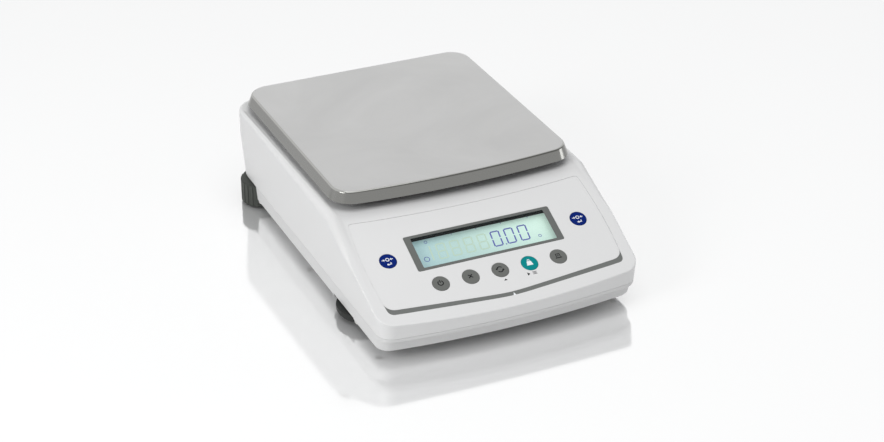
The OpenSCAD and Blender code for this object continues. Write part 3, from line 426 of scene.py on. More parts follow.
class Shop:
    """The finishes that the balance is made of."""

    housing = Finish("housing_plastic", srgb(0.868, 0.868, 0.866), "housing_white", 0.46, grain=2600,
                     grain_depth=0.03 * MM, bump=0.35, spread=0.008, cloud=14)
    # The lower shell is the housing plastic made a little darker, as painted shade.
    shaded_tub = replace(housing, name="painted_shade_tub_plastic", colour=srgb(0.83, 0.83, 0.828), roughness=0.5)
    film = Finish("panel_film", srgb(0.872, 0.872, 0.870), "film_white", 0.4, grain=5200,
                  grain_depth=0.012 * MM, bump=0.25, spread=0.006)
    stripe = Finish("stripe_print", srgb(0.435, 0.445, 0.435), "stripe_grey", 0.5, gloss=0.2)
    frame_print = Finish("frame_print", srgb(0.405, 0.415, 0.405), "print_grey", 0.5, gloss=0.2)
    key_grey = Finish("grey_key_plastic", srgb(0.42, 0.427, 0.415), "key_grey", 0.5, gloss=0.13,
                      grain=4200, bump=0.3)
    key_teal = replace(key_grey, name="teal_key_plastic", colour=srgb(0.03, 0.53, 0.54), slot="key_teal",
                       gloss=0.06)
    key_blue = replace(key_teal, name="blue_key_plastic", colour=srgb(0.01, 0.13, 0.43), slot="key_blue")
    dark_ink = Finish("dark_ink", srgb(0.08, 0.08, 0.09), "print_grey", 0.6, gloss=0.1, spread=0.05)
    white_ink = Finish("white_ink", srgb(0.93, 0.94, 0.95), "print_grey", 0.45)
    segment = Finish("display_segment", srgb(0.31, 0.33, 0.68), "lcd_face", 0.4, spread=0.05)
    ghost = Finish("display_ghost", srgb(0.635, 0.72, 0.65), "lcd_face", 0.4, spread=0.03, glow=0.45)
    # The display's right end is made brighter, partly as painted light against the shade of its recess.
    display = DisplayFace("display_glass", srgb(0.64, 0.745, 0.725), "lcd_face", 0.25, bump=0.03,
                          left=srgb(0.575, 0.70, 0.715), right=srgb(0.765, 0.87, 0.82), glow=0.45)
    window = ClearFilm("window_acrylic", srgb(0.6, 0.62, 0.62), "window_clear", 0.08, bump=0.02)
    bezel = Finish("black_bezel_plastic", srgb(0.04, 0.04, 0.045), "bezel_black", 0.6, gloss=0.1, grain=3000,
                   bump=0.05)
    backlight = Finish("light_guide_acrylic", srgb(0.93, 0.94, 0.92), "light_guide", 0.35)
    # The steel's front, side and bend colours are painted reflection on its rim.
    steel = SatinSteel("pan_satin_steel", srgb(0.755, 0.755, 0.753), "pan_steel", 0.34, 1.0,
                       grain=1500, bump=0.12, spread=0.045, uneven=0.05,
                       stretch=(0.35, 1, 1), front=srgb(0.50, 0.50, 0.49), side=srgb(0.55, 0.55, 0.54),
                       front_bend_painted_reflection=srgb(0.32, 0.32, 0.31), side_bend_painted_reflection=srgb(0.68, 0.68, 0.67))
    cast = Finish("cast_aluminium", srgb(0.72, 0.73, 0.74), "support_cast", 0.5, 1.0, grain=1400,
                  grain_depth=0.06 * MM, bump=0.5, spread=0.05)
    milled = Finish("milled_aluminium", srgb(0.80, 0.81, 0.82), "cell_aluminium", 0.34, 1.0,
                    grain=1800, bump=0.25, stretch=(0.06, 1, 1))
    spring = Finish("bright_spring_steel", srgb(0.66, 0.68, 0.72), "spring_steel", 0.28, 1.0, grain=2400,
                    stretch=(1, 0.08, 1))
    screw = Finish("zinc_screw", srgb(0.62, 0.62, 0.60), "screw_steel", 0.35, 1.0, spread=0.06)
    magnet = Finish("magnet_nickel", srgb(0.58, 0.57, 0.55), "magnet_steel", 0.25, 1.0)
    copper = Finish("copper_winding", srgb(0.72, 0.38, 0.20), "coil_copper", 0.3, 1.0, grain=5000,
                    bump=0.5, stretch=(0.02, 0.02, 1))
    board = BoardFinish("board_mask", srgb(0.04, 0.24, 0.12), "board_green", 0.35)
    parts = Finish("moulded_components", srgb(0.10, 0.10, 0.11), "component_black", 0.5, grain=2000)
    ribbon = Finish("ribbon_jacket", srgb(0.62, 0.63, 0.64), "ribbon_grey", 0.55, grain=800,
                    bump=0.6, grain_depth=0.1 * MM, stretch=(1, 0.02, 0.02))
    rubber = Finish("black_buffer_rubber", srgb(0.13, 0.13, 0.13), "buffer_rubber", 0.75, bump=0.4)
    wheel = Finish("wheel_plastic", srgb(0.265, 0.275, 0.26), "wheel_grey", 0.55, gloss=0.2, grain=2400,
                   grain_depth=0.03 * MM, bump=0.4, spread=0.04)
    # The front wheels take the wheel plastic darker, as painted shade under the housing.
    shaded_wheel = replace(wheel, name="wheel_plastic_painted_shade", colour=srgb(0.18, 0.185, 0.18), gloss=0.15,
                         bump=0.3)
    pad = Finish("black_pad_rubber", srgb(0.11, 0.11, 0.11), "pad_rubber", 0.8, bump=0.5)
    brass = Finish("bush_brass", srgb(0.76, 0.63, 0.36), "bush_brass", 0.3, 1.0, spread=0.05)


class Bench:
    """Edit operators shared by the pieces.

    LEVEL is the least rise of a level face's normal, and MANY the corners that a round face exceeds.
    """

    LEVEL = 0.9
    MANY = 8

    @staticmethod
    def clear() -> None:
        """Deselect every object and leave edit mode."""
        if bpy.context.mode != "OBJECT":
            bpy.ops.object.mode_set(mode="OBJECT")
        bpy.ops.object.select_all(action="DESELECT")

    @staticmethod
    def pick(piece: Object) -> None:
        """Select one object alone and make it active.

        Args:
            piece: the object.
        """
        Bench.clear()
        piece.select_set(True)
        bpy.context.view_layer.objects.active = piece

    @staticmethod
    def edit(piece: Object, mode: str = "FACE", action: str = "SELECT") -> None:
        """Open a piece in edit mode.

        Args:
            piece: the object.
            mode: what is selected, as VERT, EDGE or FACE.
            action: SELECT to start with all of it selected, DESELECT with none.
        """
        Bench.pick(piece)
        bpy.ops.object.mode_set(mode="EDIT")
        bpy.ops.mesh.select_mode(type=mode)
        bpy.ops.mesh.select_all(action=action)

    @staticmethod
    def choose(piece: Object, test: Callable[[bmesh.types.BMFace], bool]) -> None:
        """Select some faces of the open piece, and no others.

        Args:
            piece: the object in edit mode.
            test: tells of a face whether it is selected.
        """
        bpy.ops.mesh.select_all(action="DESELECT")
        mesh = bmesh.from_edit_mesh(piece.data)
        for face in mesh.faces:
            if test(face):
                face.select_set(True)
        bmesh.update_edit_mesh(piece.data)

    @staticmethod
    def level(side: int = 0, corners: int = 0) -> Callable[[bmesh.types.BMFace], bool]:
        """Return a test for level faces.

        Args:
            side: 1 for faces that look up, -1 for those that look down, 0 for both.
            corners: how many corners the face has to exceed.
        Returns:
            The test, for choose.
        """
        def fits(face: bmesh.types.BMFace) -> bool:
            """Tell whether the face is level and looks the wanted way."""
            rise = face.normal.z * side if side else abs(face.normal.z)
            return rise > Bench.LEVEL and len(face.verts) > corners

        return fits

    @staticmethod
    def open_at(piece: Object, side: int = 0, corners: int = 0) -> None:
        """Open a piece in edit mode with its level faces selected, as level picks them."""
        Bench.edit(piece, action="DESELECT")
        Bench.choose(piece, Bench.level(side, corners))

    @staticmethod
    def pull(height: float) -> None:
        """Extrude the chosen faces straight up, or down by a negative height."""
        bpy.ops.mesh.extrude_region_move(TRANSFORM_OT_translate={"value": (0, 0, height)})

    @staticmethod
    def grow(factor: float) -> None:
        """Extrude the chosen faces in place and widen them round their middle."""
        Bench.pull(0)
        bpy.ops.transform.resize(value=(factor, factor, 1))

    @staticmethod
    def apply(piece: Object, kind: str, **values: object) -> None:
        """Add one modifier to a piece, set its values and apply it.

        Args:
            piece: the object.
            kind: the modifier's Blender type.
            values: its properties by name.
        """
        Bench.pick(piece)
        change = piece.modifiers.new(kind.lower(), kind)
        for key, value in values.items():
            setattr(change, key, value)
        bpy.ops.object.modifier_apply(modifier=change.name)

    @staticmethod
    def settle(piece: Object, place: Matrix | None = None) -> None:
        """Put an object's place into its mesh, so that it sits at the origin.

        Args:
            piece: the object.
            place: a further place that the mesh is moved to.
        """
        Bench.pick(piece)
        if place is not None:
            piece.matrix_world = place @ piece.matrix_world
        bpy.ops.object.transform_apply(location=True, rotation=True, scale=True)

    @staticmethod
    def smooth(piece: Object, degrees: float) -> None:
        """Shade smooth up to an angle, and keep flat faces flat beside roundings.

        Args:
            piece: the object.
            degrees: the smallest edge angle that stays sharp.
        """
        Bench.pick(piece)
        bpy.ops.object.shade_smooth_by_angle(angle=math.radians(degrees))
        Bench.apply(piece, "WEIGHTED_NORMAL", keep_sharp=True, weight=80)

    @staticmethod
    def outward(piece: Object) -> None:
        """Merge doubles and turn every normal outwards.

        Args:
            piece: the object, left in edit mode.
        """
        Bench.edit(piece)
        bpy.ops.mesh.remove_doubles(threshold=1e-6)
        bpy.ops.mesh.normals_make_consistent(inside=False)

    @staticmethod
    def join(name: str, pieces: list) -> Object:
        """Join pieces into one object.

        Args:
            name: the joined object's name.
            pieces: the objects, of which the first takes up the others.
        Returns:
            The joined object.
        """
        Bench.clear()
        for piece in pieces:
            piece.select_set(True)
        bpy.context.view_layer.objects.active = pieces[0]
        if len(pieces) > 1:
            bpy.ops.object.join()
        pieces[0].name = name
        return pieces[0]

    @staticmethod
    def cylinder(radius: float, low: float, high: float, sides: int, axis: Axis = Axis.Z,
                 base: tuple = (0, 0, 0)) -> Object:
        """Add a cylinder between two heights.

        Args:
            radius: its radius.
            low, high: its ends along Z, before base is added.
            sides: how many sides it has.
            axis: the direction of its own axis.
            base: a point added to its place.
        Returns:
            The new object.
        """
        Bench.clear()
        middle = Vector((0, 0, (low + high) / 2)) + Vector(base)
        bpy.ops.mesh.primitive_cylinder_add(vertices=sides, radius=radius, depth=high - low,
                                            location=middle, rotation=axis.value)
        piece = bpy.context.active_object
        Bench.settle(piece)
        return piece

    @staticmethod
    def outline(points: list) -> Object:
        """Return a flat face whose edge is drawn by extruding one point from place to place.

        Args:
            points: the corners in order, as vectors.
        Returns:
            The new object, which stands at the origin.
        """
        Bench.clear()
        bpy.ops.mesh.primitive_plane_add(size=MM)
        piece = bpy.context.active_object
        Bench.edit(piece, "VERT")
        bpy.ops.mesh.merge(type="CENTER")
        bpy.ops.mesh.select_all(action="SELECT")
        bpy.ops.transform.translate(value=points[0])
        for last, point in zip(points, points[1:]):
            bpy.ops.mesh.extrude_vertices_move(TRANSFORM_OT_translate={"value": point - last})
        bpy.ops.mesh.select_all(action="SELECT")
        bpy.ops.mesh.edge_face_add()
        bpy.ops.mesh.normals_make_consistent(inside=False)
        return piece


def dress(piece: Object, finish: Finish, body: str, nodes: list | None = None) -> Object:
    """Give a piece its finish and tie it to the frame.

    Args:
        piece: the finished object at the origin.
        finish: the finish that it takes.
        body: the CAD body that it rides on.
        nodes: CAD nodes that it stands for.
    Returns:
        The piece.
    """
    piece.data.materials.clear()
    piece.data.materials.append(finish.build())
    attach(piece, body)
    if nodes:
        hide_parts(*nodes)
    LOG.info("piece %s: %d faces, rides on %s", piece.name, len(piece.data.polygons), body)
    return piece


def refined(node: str, name: str, bevel: float, angle: float = 35.0) -> Object:
    """Copy a CAD node's mesh, merge it and round its edges a little.

    Args:
        node: the CAD node.
        name: the new piece's name.
        bevel: radius of the rounded edges.
        angle: the smallest edge angle that is rounded, in degrees.
    Returns:
        The new object, which stands at the origin.
    """
    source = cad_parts[node]
    piece = bpy.data.objects.new(name, source.data.copy())
    bpy.context.scene.collection.objects.link(piece)
    Bench.edit(piece, "VERT")
    bpy.ops.mesh.remove_doubles(threshold=MERGE)
    bpy.ops.mesh.dissolve_limited(angle_limit=FLAT)
    Bench.apply(piece, "BEVEL", width=bevel, segments=2, limit_method="ANGLE",
                angle_limit=math.radians(angle), use_clamp_overlap=True)
    Bench.smooth(piece, degrees=32.0)
    return piece


@dataclass
class Panel:
    """The sloping key panel, on which the film, display and keys lie."""

    slope: float = math.radians(23.9)
    nose_height: float = 31 * MM
    row_up: float = 33.2 * MM
    film_level: float = -0.3 * MM
    key_pitch: float = 23.75 * MM
    tare_u: float = 29 * MM
    key_radius: float = 6.45 * MM

    def matrix(self) -> Matrix:
        """Place the panel's own axes, with their origin in the row of keys.

        Returns:
            The place as a matrix.
        """
        row = (0, CAD_BOX[0].y + self.row_up * math.cos(self.slope),
               self.nose_height + self.row_up * math.sin(self.slope))
        return Matrix.Translation(row) @ Matrix.Rotation(self.slope, 4, "X")

    def at(self, x: float, u: float, level: float) -> Matrix:
        """Return the place of a point on the panel, level metres above its face."""
        return self.matrix() @ Matrix.Translation((x, u, level))


PANEL = Panel()


class Ink:
    """Flat prints and display segments, drawn in a plane as strokes."""

    THICKNESS = 0.03 * MM
    STEPS = 48

    @staticmethod
    def bar(start: tuple, end: tuple, width: float) -> Object:
        """Draw a straight stroke, in millimetres.

        Args:
            start, end: the middles of its two ends.
            width: its width.
        Returns:
            The flat stroke.
        """
        Bench.clear()
        a, b = Vector(start) * MM, Vector(end) * MM
        length = (b - a).length
        middle = (a + b) / 2
        bpy.ops.mesh.primitive_plane_add(size=1, location=(middle.x, middle.y, 0),
                                         rotation=(0, 0, math.atan2(b.y - a.y, b.x - a.x)))
        stroke = bpy.context.active_object
        stroke.scale = (length, width * MM, 1)
        Bench.settle(stroke)
        return stroke

    @staticmethod
    def arc(centre: tuple, radius: float, width: float, start: float = 0.0,
            end: float = 360.0) -> Object:
        """Draw a round stroke, in millimetres and degrees.

        Args:
            centre: its centre.
            radius: the radius of its middle line.
            width: its width.
            start, end: the angles that it runs between.
        Returns:
            The flat stroke.
        """
        Bench.clear()
        bpy.ops.mesh.primitive_circle_add(vertices=Ink.STEPS, radius=(radius - width / 2) * MM,
                                          fill_type="NOTHING")
        stroke = bpy.context.active_object
        Bench.edit(stroke, "EDGE")
        bpy.ops.mesh.extrude_edges_move()
        grow = (radius + width / 2) / (radius - width / 2)
        bpy.ops.transform.resize(value=(grow, grow, 1))
        if end - start < 360:
            def outside(face: bmesh.types.BMFace) -> bool:
                """Tell whether a face lies outside the stroke's angles.

                Args:
                    face: a face of the whole ring.
                Returns:
                    Whether it is cut away.
                """
                middle = face.calc_center_median()
                turn = math.degrees(math.atan2(middle.y, middle.x))
                return (turn - start) % 360 > end - start

            bpy.ops.mesh.select_mode(type="FACE")
            Bench.choose(stroke, outside)
            bpy.ops.mesh.delete(type="FACE")
        Bench.settle(stroke, Matrix.Translation((centre[0] * MM, centre[1] * MM, 0)))
        return stroke

    @staticmethod
    def shape(corners: list) -> Object:
        """Return a filled outline through corners given in millimetres."""
        return Bench.outline([Vector((x * MM, y * MM, 0)) for x, y in corners])

    @staticmethod
    def lay(name: str, strokes: list, x: float, u: float, level: float) -> Object:
        """Join strokes, give them a print's thickness and lay them on the panel.

        Args:
            name: the piece's name.
            strokes: flat strokes round their own middle.
            x, u: the place on the panel.
            level: the height of the print's underside over the panel's face.
        Returns:
            The print as one object at the origin.
        """
        piece = Bench.join(name, strokes)
        Bench.edit(piece)
        Bench.pull(Ink.THICKNESS)
        bpy.ops.mesh.select_all(action="SELECT")
        bpy.ops.mesh.normals_make_consistent(inside=False)
        Bench.settle(piece, PANEL.at(x, u, level))
        return piece


class Symbol(Enum):
    """Generic signs on the keys, as arcs, bars and filled shapes in millimetres."""

    POWER = (("arc", (0, 0), 2.0, 0.75, 120, 420), ("bar", (0, 0.3), (0, 2.8), 0.75))
    CLEAR = (("bar", (-1.5, -1.5), (1.5, 1.5), 0.8), ("bar", (-1.5, 1.5), (1.5, -1.5), 0.8))
    TOGGLE = (("arc", (0, 0), 2.3, 0.8, 35, 155), ("arc", (0, 0), 2.3, 0.8, 215, 335),
              ("shape", ((-3.3, 1.1), (-1.1, 1.3), (-2.5, -0.5))),
              ("shape", ((3.3, -1.1), (1.1, -1.3), (2.5, 0.5))))
    WEIGHT = (("arc", (0, 2.1), 0.8, 0.5),
              ("shape", ((-1.7, 1.3), (-2.5, -2.3), (2.5, -2.3), (1.7, 1.3))))
    PRINT = (("bar", (-2.6, -1.6), (2.6, -1.6), 0.7), ("bar", (-1.5, -1.0), (-1.5, 2.0), 0.5),
             ("bar", (1.5, -1.0), (1.5, 2.0), 0.5), ("bar", (-1.75, 2.0), (1.75, 2.0), 0.5),
             ("bar", (-0.8, 0.9), (0.8, 0.9), 0.4), ("bar", (-0.8, 0.0), (0.8, 0.0), 0.4))
    ZERO = (("arc", (0, 0.9), 1.25, 0.6), ("bar", (-4.4, 0.9), (-2.9, 0.9), 0.6),
            ("bar", (2.9, 0.9), (4.4, 0.9), 0.6),
            ("shape", ((-3.1, 2.0), (-1.9, 0.9), (-3.1, -0.2))),
            ("shape", ((3.1, 2.0), (3.1, -0.2), (1.9, 0.9))),
            ("bar", (-0.6, -3.4), (1.9, -3.4), 0.7), ("bar", (1.6, -3.4), (1.6, -1.9), 0.7),
            ("shape", ((-1.9, -3.4), (-0.5, -4.5), (-0.5, -2.3))))

    def strokes(self) -> list:
        """Return the sign's strokes round the key's middle."""
        return [getattr(Ink, kind)(*values) for kind, *values in self.value]


@dataclass
class Key:
    """One key: a slightly dished cap with a flange, a stem and a printed sign."""

    name: str
    x: float
    u: float
    finish: Finish
    ink: Finish
    symbol: Symbol
    skirt: float = 2.5 * MM
    flange_radius: float = 7.85 * MM
    flange_height: float = 0.8 * MM
    stem_radius: float = 2.2 * MM
    stem: float = 4.9 * MM
    edge: float = 0.22 * MM
    edge_steps: int = 3
    dish: float = 0.1 * MM
    dish_ring: float = 0.9 * MM
    sign_up: float = 0.5 * MM
    sign_over: float = 0.01 * MM

    def build(self) -> None:
        """Model the cap and its sign."""
        body = "key_" + self.name
        cap = self.cap()
        dress(cap, self.finish, body, [body])
        sign = Ink.lay("sign_" + self.name, self.symbol.strokes(), self.x, self.u + self.sign_up,
                       PANEL.film_level - self.dish + self.sign_over)
        dress(sign, self.ink, body)

    def cap(self) -> Object:
        """Model the cap with its rounded edge, dish, flange and stem.

        Returns:
            The cap at the origin.
        """
        cap = Bench.cylinder(PANEL.key_radius, -self.skirt, 0.0, sides=64)
        cap.name = "cap_" + self.name
        Bench.open_at(cap, 1)
        bpy.ops.mesh.bevel(offset=self.edge, segments=self.edge_steps, affect="EDGES")
        Bench.choose(cap, Bench.level(1, Bench.MANY))
        bpy.ops.mesh.inset(thickness=self.dish_ring, depth=0)
        bpy.ops.mesh.inset(thickness=self.dish_ring, depth=-self.dish)
        Bench.choose(cap, Bench.level(-1))
        Bench.grow(self.flange_radius / PANEL.key_radius)
        Bench.pull(-self.flange_height)
        Bench.grow(self.stem_radius / self.flange_radius)
        Bench.pull(-self.stem)
        Bench.outward(cap)
        Bench.settle(cap, PANEL.at(self.x, self.u, PANEL.film_level))
        Bench.smooth(cap, degrees=40.0)
        return cap


@dataclass
class KeyField:
    """The seven keys and the marks printed below two of them."""

    up_at: tuple = (0.3 * MM, -9.3 * MM)
    menu_at: tuple = (19.2 * MM, -9.1 * MM)
    lines_x: tuple = (3.2, 6.4)
    lines_y: tuple = (1.0, 0.0, -1.0)
    line_width: float = 0.45

    def build(self) -> None:
        """Build every key and mark."""
        pitch, tare_u = PANEL.key_pitch, PANEL.tare_u
        low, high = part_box("key_tare_right")
        tare_x = (low.x + high.x) / 2
        grey, blue = (Shop.key_grey, Shop.dark_ink), (Shop.key_blue, Shop.white_ink)
        rows = [("power", -2 * pitch, 0.0, *grey, Symbol.POWER),
                ("clear", -pitch, 0.0, *grey, Symbol.CLEAR),
                ("toggle", 0.0, 0.0, *grey, Symbol.TOGGLE),
                ("calibrate", pitch, 0.0, Shop.key_teal, Shop.white_ink, Symbol.WEIGHT),
                ("print", 2 * pitch, 0.0, *grey, Symbol.PRINT),
                ("tare_left", -tare_x, tare_u, *blue, Symbol.ZERO),
                ("tare_right", tare_x, tare_u, *blue, Symbol.ZERO)]
        for row in rows:
            Key(*row).build()
        up = Ink.lay("mark_up", [Ink.shape([(-1.4, -0.7), (1.4, -0.7), (0, 0.9)])], *self.up_at,
                     PANEL.film_level)
        left, right = self.lines_x
        lines = [Ink.bar((left, y), (right, y), self.line_width) for y in self.lines_y]
        menu = Ink.lay("mark_menu", [Ink.shape([(-1.0, -1.5), (1.1, 0.0), (-1.0, 1.5)])] + lines,
                       *self.menu_at, PANEL.film_level)
        for mark in (up, menu):
            dress(mark, Shop.dark_ink, "housing")


@dataclass
class Display:
    """Liquid crystal display with its digits, ghost segments and small marks."""

    level: float = -6.59 * MM
    digit_u: float = 31.8
    half_width: float = 3.3
    half_height: float = 6.6
    corner_gap: tuple = (0.35, 0.15)
    middle_gap: float = 0.55
    pitch: float = 11.1
    first_x: float = 12.1
    slant: float = 0.085
    stroke: float = 1.05
    point_x: tuple = (16.9, 17.9)
    digits: int = 3
    ghosts: int = 4
    one_left: float = 8.4
    one_lean: float = 0.5
    rings: tuple = (((-41.2, 42.4), 1.1, 0.4), ((-46.1, 27.4), 2.0, 0.5), ((45.5, 25.9), 1.1, 0.4))
    marks_x: tuple = (-19.4, 0.4, 20.9, 43.1)
    marks_u: tuple = (44.2, 45.6)
    mark_width: float = 0.5
    bevel: float = 0.1 * MM

    def segment_ends(self) -> dict:
        """Place a digit's seven segments round its middle.

        Returns:
            The two ends of each segment by its name.
        """
        w, h, gap = self.half_width, self.half_height, self.middle_gap
        flat, tall = w - self.corner_gap[0], h - self.corner_gap[1]
        return {"top": ((-flat, h), (flat, h)), "middle": ((-flat, 0), (flat, 0)),
                "bottom": ((-flat, -h), (flat, -h)), "left_up": ((-w, gap), (-w, tall)),
                "left_low": ((-w, -tall), (-w, -gap)), "right_up": ((w, gap), (w, tall)),
                "right_low": ((w, -tall), (w, -gap))}

    def digit(self, x: float, skip: tuple = ()) -> list:
        """Draw one digit.

        Args:
            x: the place of its middle, across the display.
            skip: names of the segments left out.
        Returns:
            The strokes.
        """
        def lean(point: tuple) -> tuple:
            """Shift a point along the slant."""
            return (x + point[0] + self.slant * point[1], point[1])

        return [Ink.bar(lean(a), lean(b), self.stroke)
                for name, (a, b) in self.segment_ends().items() if name not in skip]

    def build(self) -> None:
        """Build the reading, the faint unused digits, the small marks and the glass."""
        half, low, up = self.half_height, -self.half_height, self.digit_u * MM
        places = [self.first_x + self.pitch * k for k in range(self.digits)]
        strokes = [s for x in places for s in self.digit(x, ("middle",))]
        left, right = self.point_x
        strokes.append(Ink.bar((left, low), (right, low), right - left))
        dress(Ink.lay("display_reading", strokes, 0, up, self.level), Shop.segment, "housing")
        places = [self.first_x - self.pitch * (k + 1) for k in range(self.ghosts)]
        faint = [s for x in places for s in self.digit(x)]
        one_x = places[-1] - self.one_left
        faint.append(Ink.bar((one_x - self.one_lean, low), (one_x + self.one_lean, half), self.stroke))
        dress(Ink.lay("display_ghosts", faint, 0, up, self.level), Shop.ghost, "housing")
        small = [Ink.arc(*ring) for ring in self.rings]
        small += [Ink.bar(*[(x, u) for u in self.marks_u], self.mark_width) for x in self.marks_x]
        dress(Ink.lay("display_marks", small, 0, 0, self.level), Shop.segment, "housing")
        for node, finish in (("lcd_glass", Shop.display), ("lcd_bezel", Shop.bezel),
                             ("lcd_backlight", Shop.backlight), ("display_frame", Shop.frame_print),
                             ("display_window", Shop.window)):
            dress(refined(node, node + "_shown", self.bevel), finish, "housing", [node])


@dataclass
class Casing:
    """Upper and lower shells with the printed film and its stripe."""

    angle: float = 50.0
    tick_at: tuple = (1.3 * MM, -22.7 * MM)

    def build(self) -> None:
        """Build the shells, film, stripe, tick, plug and screws."""
        for node, name, bevel, finish in (("upper_housing", "upper_shell", 0.25, Shop.housing),
                                          # the lower shell takes the darker copy of the plastic, painted
                                          # shade
                                          ("lower_housing", "lower_shell", 0.25, Shop.shaded_tub),
                                          ("overlay_film", "panel_film", 0.12, Shop.film),
                                          ("accent_strip", "panel_stripe", 0.08, Shop.stripe)):
            dress(refined(node, name, bevel * MM, self.angle), finish, "housing", [node])
        tick = Ink.lay("stripe_tick", [Ink.shape([(-1.1, -1.3), (1.1, -1.3), (0, 1.2)])], *self.tick_at,
                       PANEL.film_level)
        dress(tick, Shop.white_ink, "housing")
        for node, name, bevel, finish in (("underhook_cover", "underhook_plug", 0.2, Shop.housing),
                                          ("housing_screws", "housing_screws_shown", 0.15, Shop.screw)):
            dress(refined(node, name, bevel * MM), finish, "housing", [node])


@dataclass
class Pan:
    """Pressed steel pan with a rim that flares out and a bowed front edge."""

    width: float = 190.4 * MM
    bow: float = 6.2 * MM
    corner: float = 16 * MM
    flare: float = 3.3 * MM
    edge: float = 2.2 * MM
    edge_steps: int = 6
    sheet: float = 1.0 * MM
    front_steps: int = 36
    corner_steps: int = 12

    def build(self) -> None:
        """Model the pan from the outline of its lower edge and dress it."""
        low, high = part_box("weighing_pan")
        pan = Bench.outline([Vector((x, y, low.z)) for x, y in self.lower_edge(low.y, high.y)])
        pan.name = "pan_steel"
        self.press(pan, high.z - low.z)
        dress(pan, Shop.steel, "weighing_pan", ["weighing_pan"])

    def arc(self, centre: tuple, radius: float, start: float, end: float, steps: int) -> list:
        """Return the places along an arc from one angle to another, in degrees."""
        turns = [math.radians(start + (end - start) * k / steps) for k in range(steps + 1)]
        return [(centre[0] + radius * math.cos(t), centre[1] + radius * math.sin(t)) for t in turns]

    def lower_edge(self, front: float, rear: float) -> list:
        """Return the outline of the rim's lower edge.

        Args:
            front: the foremost point of the bowed edge.
            rear: the place of the straight rear edge.
        Returns:
            The points as pairs, against the clock seen from above.
        """
        half, small = self.width / 2 + self.flare, self.corner + self.flare
        big = ((self.width / 2) ** 2 + self.bow ** 2) / (2 * self.bow) + self.flare
        middle_x = half - small
        reach = math.degrees(math.asin(middle_x / (big - small)))
        middle_y = front + big - math.sqrt((big - small) ** 2 - middle_x ** 2)
        bowed = self.arc((0, front + big), big, -90 - reach, -90 + reach, self.front_steps)
        right = self.arc((middle_x, middle_y), small, -90 + reach, 0, self.corner_steps)
        back = self.arc((middle_x, rear - small), small, 0, 90, self.corner_steps)
        far = self.arc((-middle_x, rear - small), small, 90, 180, self.corner_steps)
        left = self.arc((-middle_x, middle_y), small, 180, 270 - reach, self.corner_steps)
        return bowed + right[1:] + back + far + left[:-1]

    def press(self, pan: Object, height: float) -> None:
        """Raise the face inside the rim, round its top edge and give the sheet its thickness.

        Args:
            pan: the flat outline.
            height: how far the face lies above the rim's lower edge.
        """
        turn = math.atan2(height, self.flare)
        Bench.edit(pan)
        bpy.ops.mesh.inset(thickness=self.flare, depth=height)
        bpy.ops.mesh.bevel(offset=self.edge * math.tan(turn / 2), segments=self.edge_steps, affect="EDGES")
        Bench.apply(pan, "SOLIDIFY", thickness=self.sheet, offset=-1.0, use_even_offset=True)
        Bench.smooth(pan, degrees=25.0)


